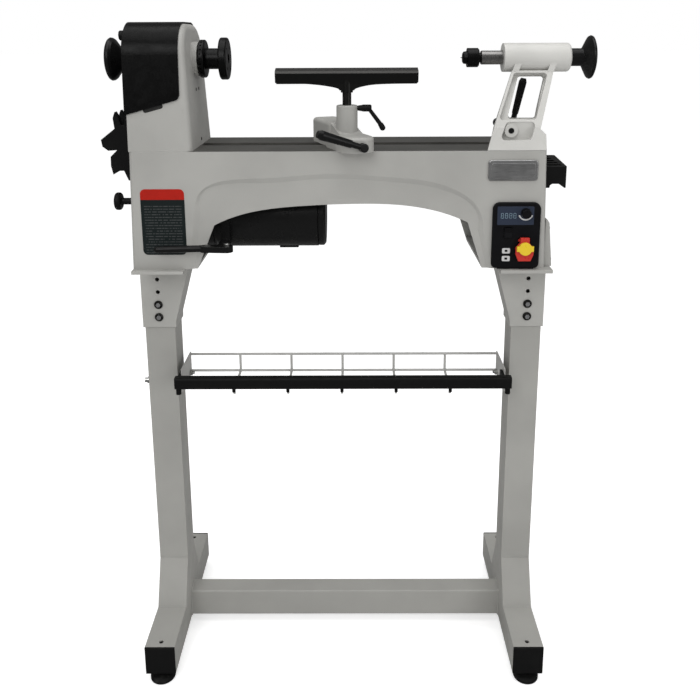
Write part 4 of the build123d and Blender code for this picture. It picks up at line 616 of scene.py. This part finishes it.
def make_quill_marks():
    """Depth graduations round the quill, every tenth of an inch."""
    low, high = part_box("quill")
    middle = (low + high) / 2
    shape = bmesh.new()
    pitch = 2.54 * MM
    for number in range(2, 34):
        x = low.x + number * pitch
        half = 0.16 * MM if number % 5 else 0.28 * MM
        arc = 0.4 if number % 5 else 0.7
        for step in range(7):
            angle = math.radians(90.0) + arc * (step / 6.0 - 0.5) * 2.0
            outward = (0, math.sin(angle), math.cos(angle))
            spot = (x, 12.66 * MM * outward[1], middle.z + 12.66 * MM * outward[2])
            plate(shape, outlook(spot, outward, (1, 0, 0)), arc * 12.7 * MM / 3.0, 2 * half,
                  0.06 * MM, 0.1 * MM)
    piece("quill_graduations", "tail_quill", "socket", shape)


# ---------------------------------------------------------------- pieces on the stand
def make_locknuts():
    """A hexagon locknut under each foot tube, on the levelling studs."""
    shape = bmesh.new()
    tube_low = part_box("left_leg")[0].z
    for corner in ("front_left", "front_right", "rear_left", "rear_right"):
        low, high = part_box("levelling_foot_" + corner)
        middle = (low + high) / 2
        place = outlook((middle.x, middle.y, tube_low - 5.6 * MM), UP, (0, 1, 0))
        turned_solid(shape, place, [(0.0, 8.4 * MM), (0.6 * MM, 9.2 * MM), (5.0 * MM, 9.2 * MM),
                                    (5.5 * MM, 8.4 * MM)], 6)
    piece("levelling_locknuts", "stand", "zinc", shape)


def make_welds():
    """Weld beads where the cross beam meets the posts and along the shoulders."""
    shape = bmesh.new()
    low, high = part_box("cross_beam")
    radius = 1.6 * MM
    for x in (low.x + 0.4 * MM, high.x - 0.4 * MM):
        loop = [(low.y, low.z), (high.y, low.z), (high.y, high.z), (low.y, high.z)]
        for number, (y, z) in enumerate(loop):
            next_y, next_z = loop[(number + 1) % 4]
            bead(shape, (x, y, z), (x, next_y, next_z), radius)
    for leg in ("left_leg", "right_leg"):
        leg_low, leg_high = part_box(leg)
        for side in (-1, 1):
            for y, z in ((67.5, 78.0), (29.0, 166.7)):
                bead(shape, (leg_low.x + 1 * MM, side * y * MM, z * MM),
                     (leg_high.x - 1 * MM, side * y * MM, z * MM), 1.3 * MM)
    piece("weld_beads", "stand", "stand", shape, 60.0)


def bead(shape, start, end, radius):
    """One rippled weld bead between two points."""
    start, end = Vector(start), Vector(end)
    count = max(6, int((end - start).length / (1.6 * MM)))
    loops = []
    for step in range(count + 1):
        place = outlook(start.lerp(end, step / count), end - start, (0.31, 0.27, 0.91))
        swell = radius * (1.0 + 0.14 * math.cos(math.pi * step))
        loops.append([place @ Vector(corner) for corner in ring(swell, 0.0, 8)])
    skin(shape, loops, Matrix.Identity(4))


make_label()
make_nameplate_relief()
make_panel_face()
make_bracket_screws()
make_end_screws()
make_hinge_screws()
make_finger_recess()
make_face_bore_shadows()
make_lever_screws()
make_hub_screw()
make_quill_marks()
make_locknuts()
make_welds()


# ---------------------------------------------------------------- floor, light and camera
def studio():
    """A white floor under an even sky and three soft lamps."""
    mesh = bpy.data.meshes.new("floor")
    shape = bmesh.new()
    bmesh.ops.create_circle(shape, cap_ends=True, segments=96, radius=60.0)
    shape.to_mesh(mesh)
    shape.free()
    floor = bpy.data.objects.new("floor", mesh)
    bpy.context.scene.collection.objects.link(floor)
    shader = Shader("floor", roughness=0.9)
    pale = shader.mix(shader.noise(3.0), (0.84, 0.84, 0.84), (0.86, 0.86, 0.86))
    mirrored = shader.add("LightPath", output="Is Glossy Ray")
    seen_directly = shader.add("LightPath", output="Is Camera Ray")
    glow = 0.48
    shader.set(Base_Color=shader.mix(mirrored, pale, (0.21, 0.21, 0.21)), Specular_IOR_Level=0.0)
    shader.set(Emission_Color=(1.0, 1.0, 1.0, 1.0),
               Emission_Strength=shader.maths("MULTIPLY", seen_directly, glow))
    mesh.materials.append(shader.material)

    world = bpy.data.worlds.new("studio")
    bpy.context.scene.world = world
    world.use_nodes = True
    tree = world.node_tree
    background = tree.nodes["Background"]
    seen = tree.nodes.new("ShaderNodeLightPath")
    diffuse_level, glossy_level = 0.62, 0.15
    to_camera = tree.nodes.new("ShaderNodeMapRange")
    to_camera.inputs["To Min"].default_value = diffuse_level
    to_camera.inputs["To Max"].default_value = 1.0
    tree.links.new(seen.outputs["Is Camera Ray"], to_camera.inputs["Value"])
    to_gloss = tree.nodes.new("ShaderNodeMapRange")
    to_gloss.inputs["To Min"].default_value = 0.0
    to_gloss.inputs["To Max"].default_value = glossy_level - diffuse_level
    tree.links.new(seen.outputs["Is Glossy Ray"], to_gloss.inputs["Value"])
    total = tree.nodes.new("ShaderNodeMath")
    tree.links.new(to_camera.outputs[0], total.inputs[0])
    tree.links.new(to_gloss.outputs[0], total.inputs[1])
    tree.links.new(total.outputs[0], background.inputs["Strength"])
    background.inputs["Color"].default_value = (1.0, 1.0, 1.0, 1.0)

    lamps = {
        "key": ((-1.2, -2.9, 2.7), 1.6, 34.0),
        "fill": ((2.4, -1.9, 1.6), 1.6, 17.0),
        "top": ((0.0, -0.2, 3.4), 2.6, 42.0),
    }
    target = Vector((0.0, 0.0, 0.85))
    for name, (spot, size, watts) in lamps.items():
        data = bpy.data.lights.new(name, "AREA")
        data.shape = "SQUARE"
        data.size = size
        data.energy = watts
        lamp = bpy.data.objects.new(name, data)
        bpy.context.scene.collection.objects.link(lamp)
        lamp.location = spot
        lamp.rotation_mode = "QUATERNION"
        lamp.rotation_quaternion = (target - Vector(spot)).to_track_quat("-Z", "Y")
    bpy.context.scene.view_settings.view_transform = "Standard"


def place_camera():
    """The front view, with the optical axis in the upper part of the picture."""
    spot = Vector((0.00519, -1.4624, 1.23384))
    tilt_down, turn, roll = 0.21809, 0.00465, -0.00442
    shift = -0.2032
    data = bpy.data.cameras.new("main_view")
    data.sensor_width = 36.0
    data.lens = 40.015
    camera = bpy.data.objects.new("main_view", data)
    bpy.context.scene.collection.objects.link(camera)
    aim = (Matrix.Rotation(turn, 3, "Z") @ Matrix.Rotation(math.pi / 2 - tilt_down, 3, "X")
           @ Matrix.Rotation(roll, 3, "Z"))
    camera.rotation_mode = "QUATERNION"
    camera.rotation_quaternion = aim.to_quaternion()
    camera.location = spot
    # the shift holds only where the main view stands, so every other view stays centred
    driver = data.driver_add("shift_y").driver
    driver.type = "SCRIPTED"
    depth = driver.variables.new()
    depth.name = "depth"
    depth.type = "TRANSFORMS"
    depth.targets[0].id = camera
    depth.targets[0].transform_type = "LOC_Y"
    driver.expression = f"{shift} if abs(depth - {spot.y}) < 0.0001 else 0.0"
    bpy.context.scene.camera = camera


studio()
place_camera()
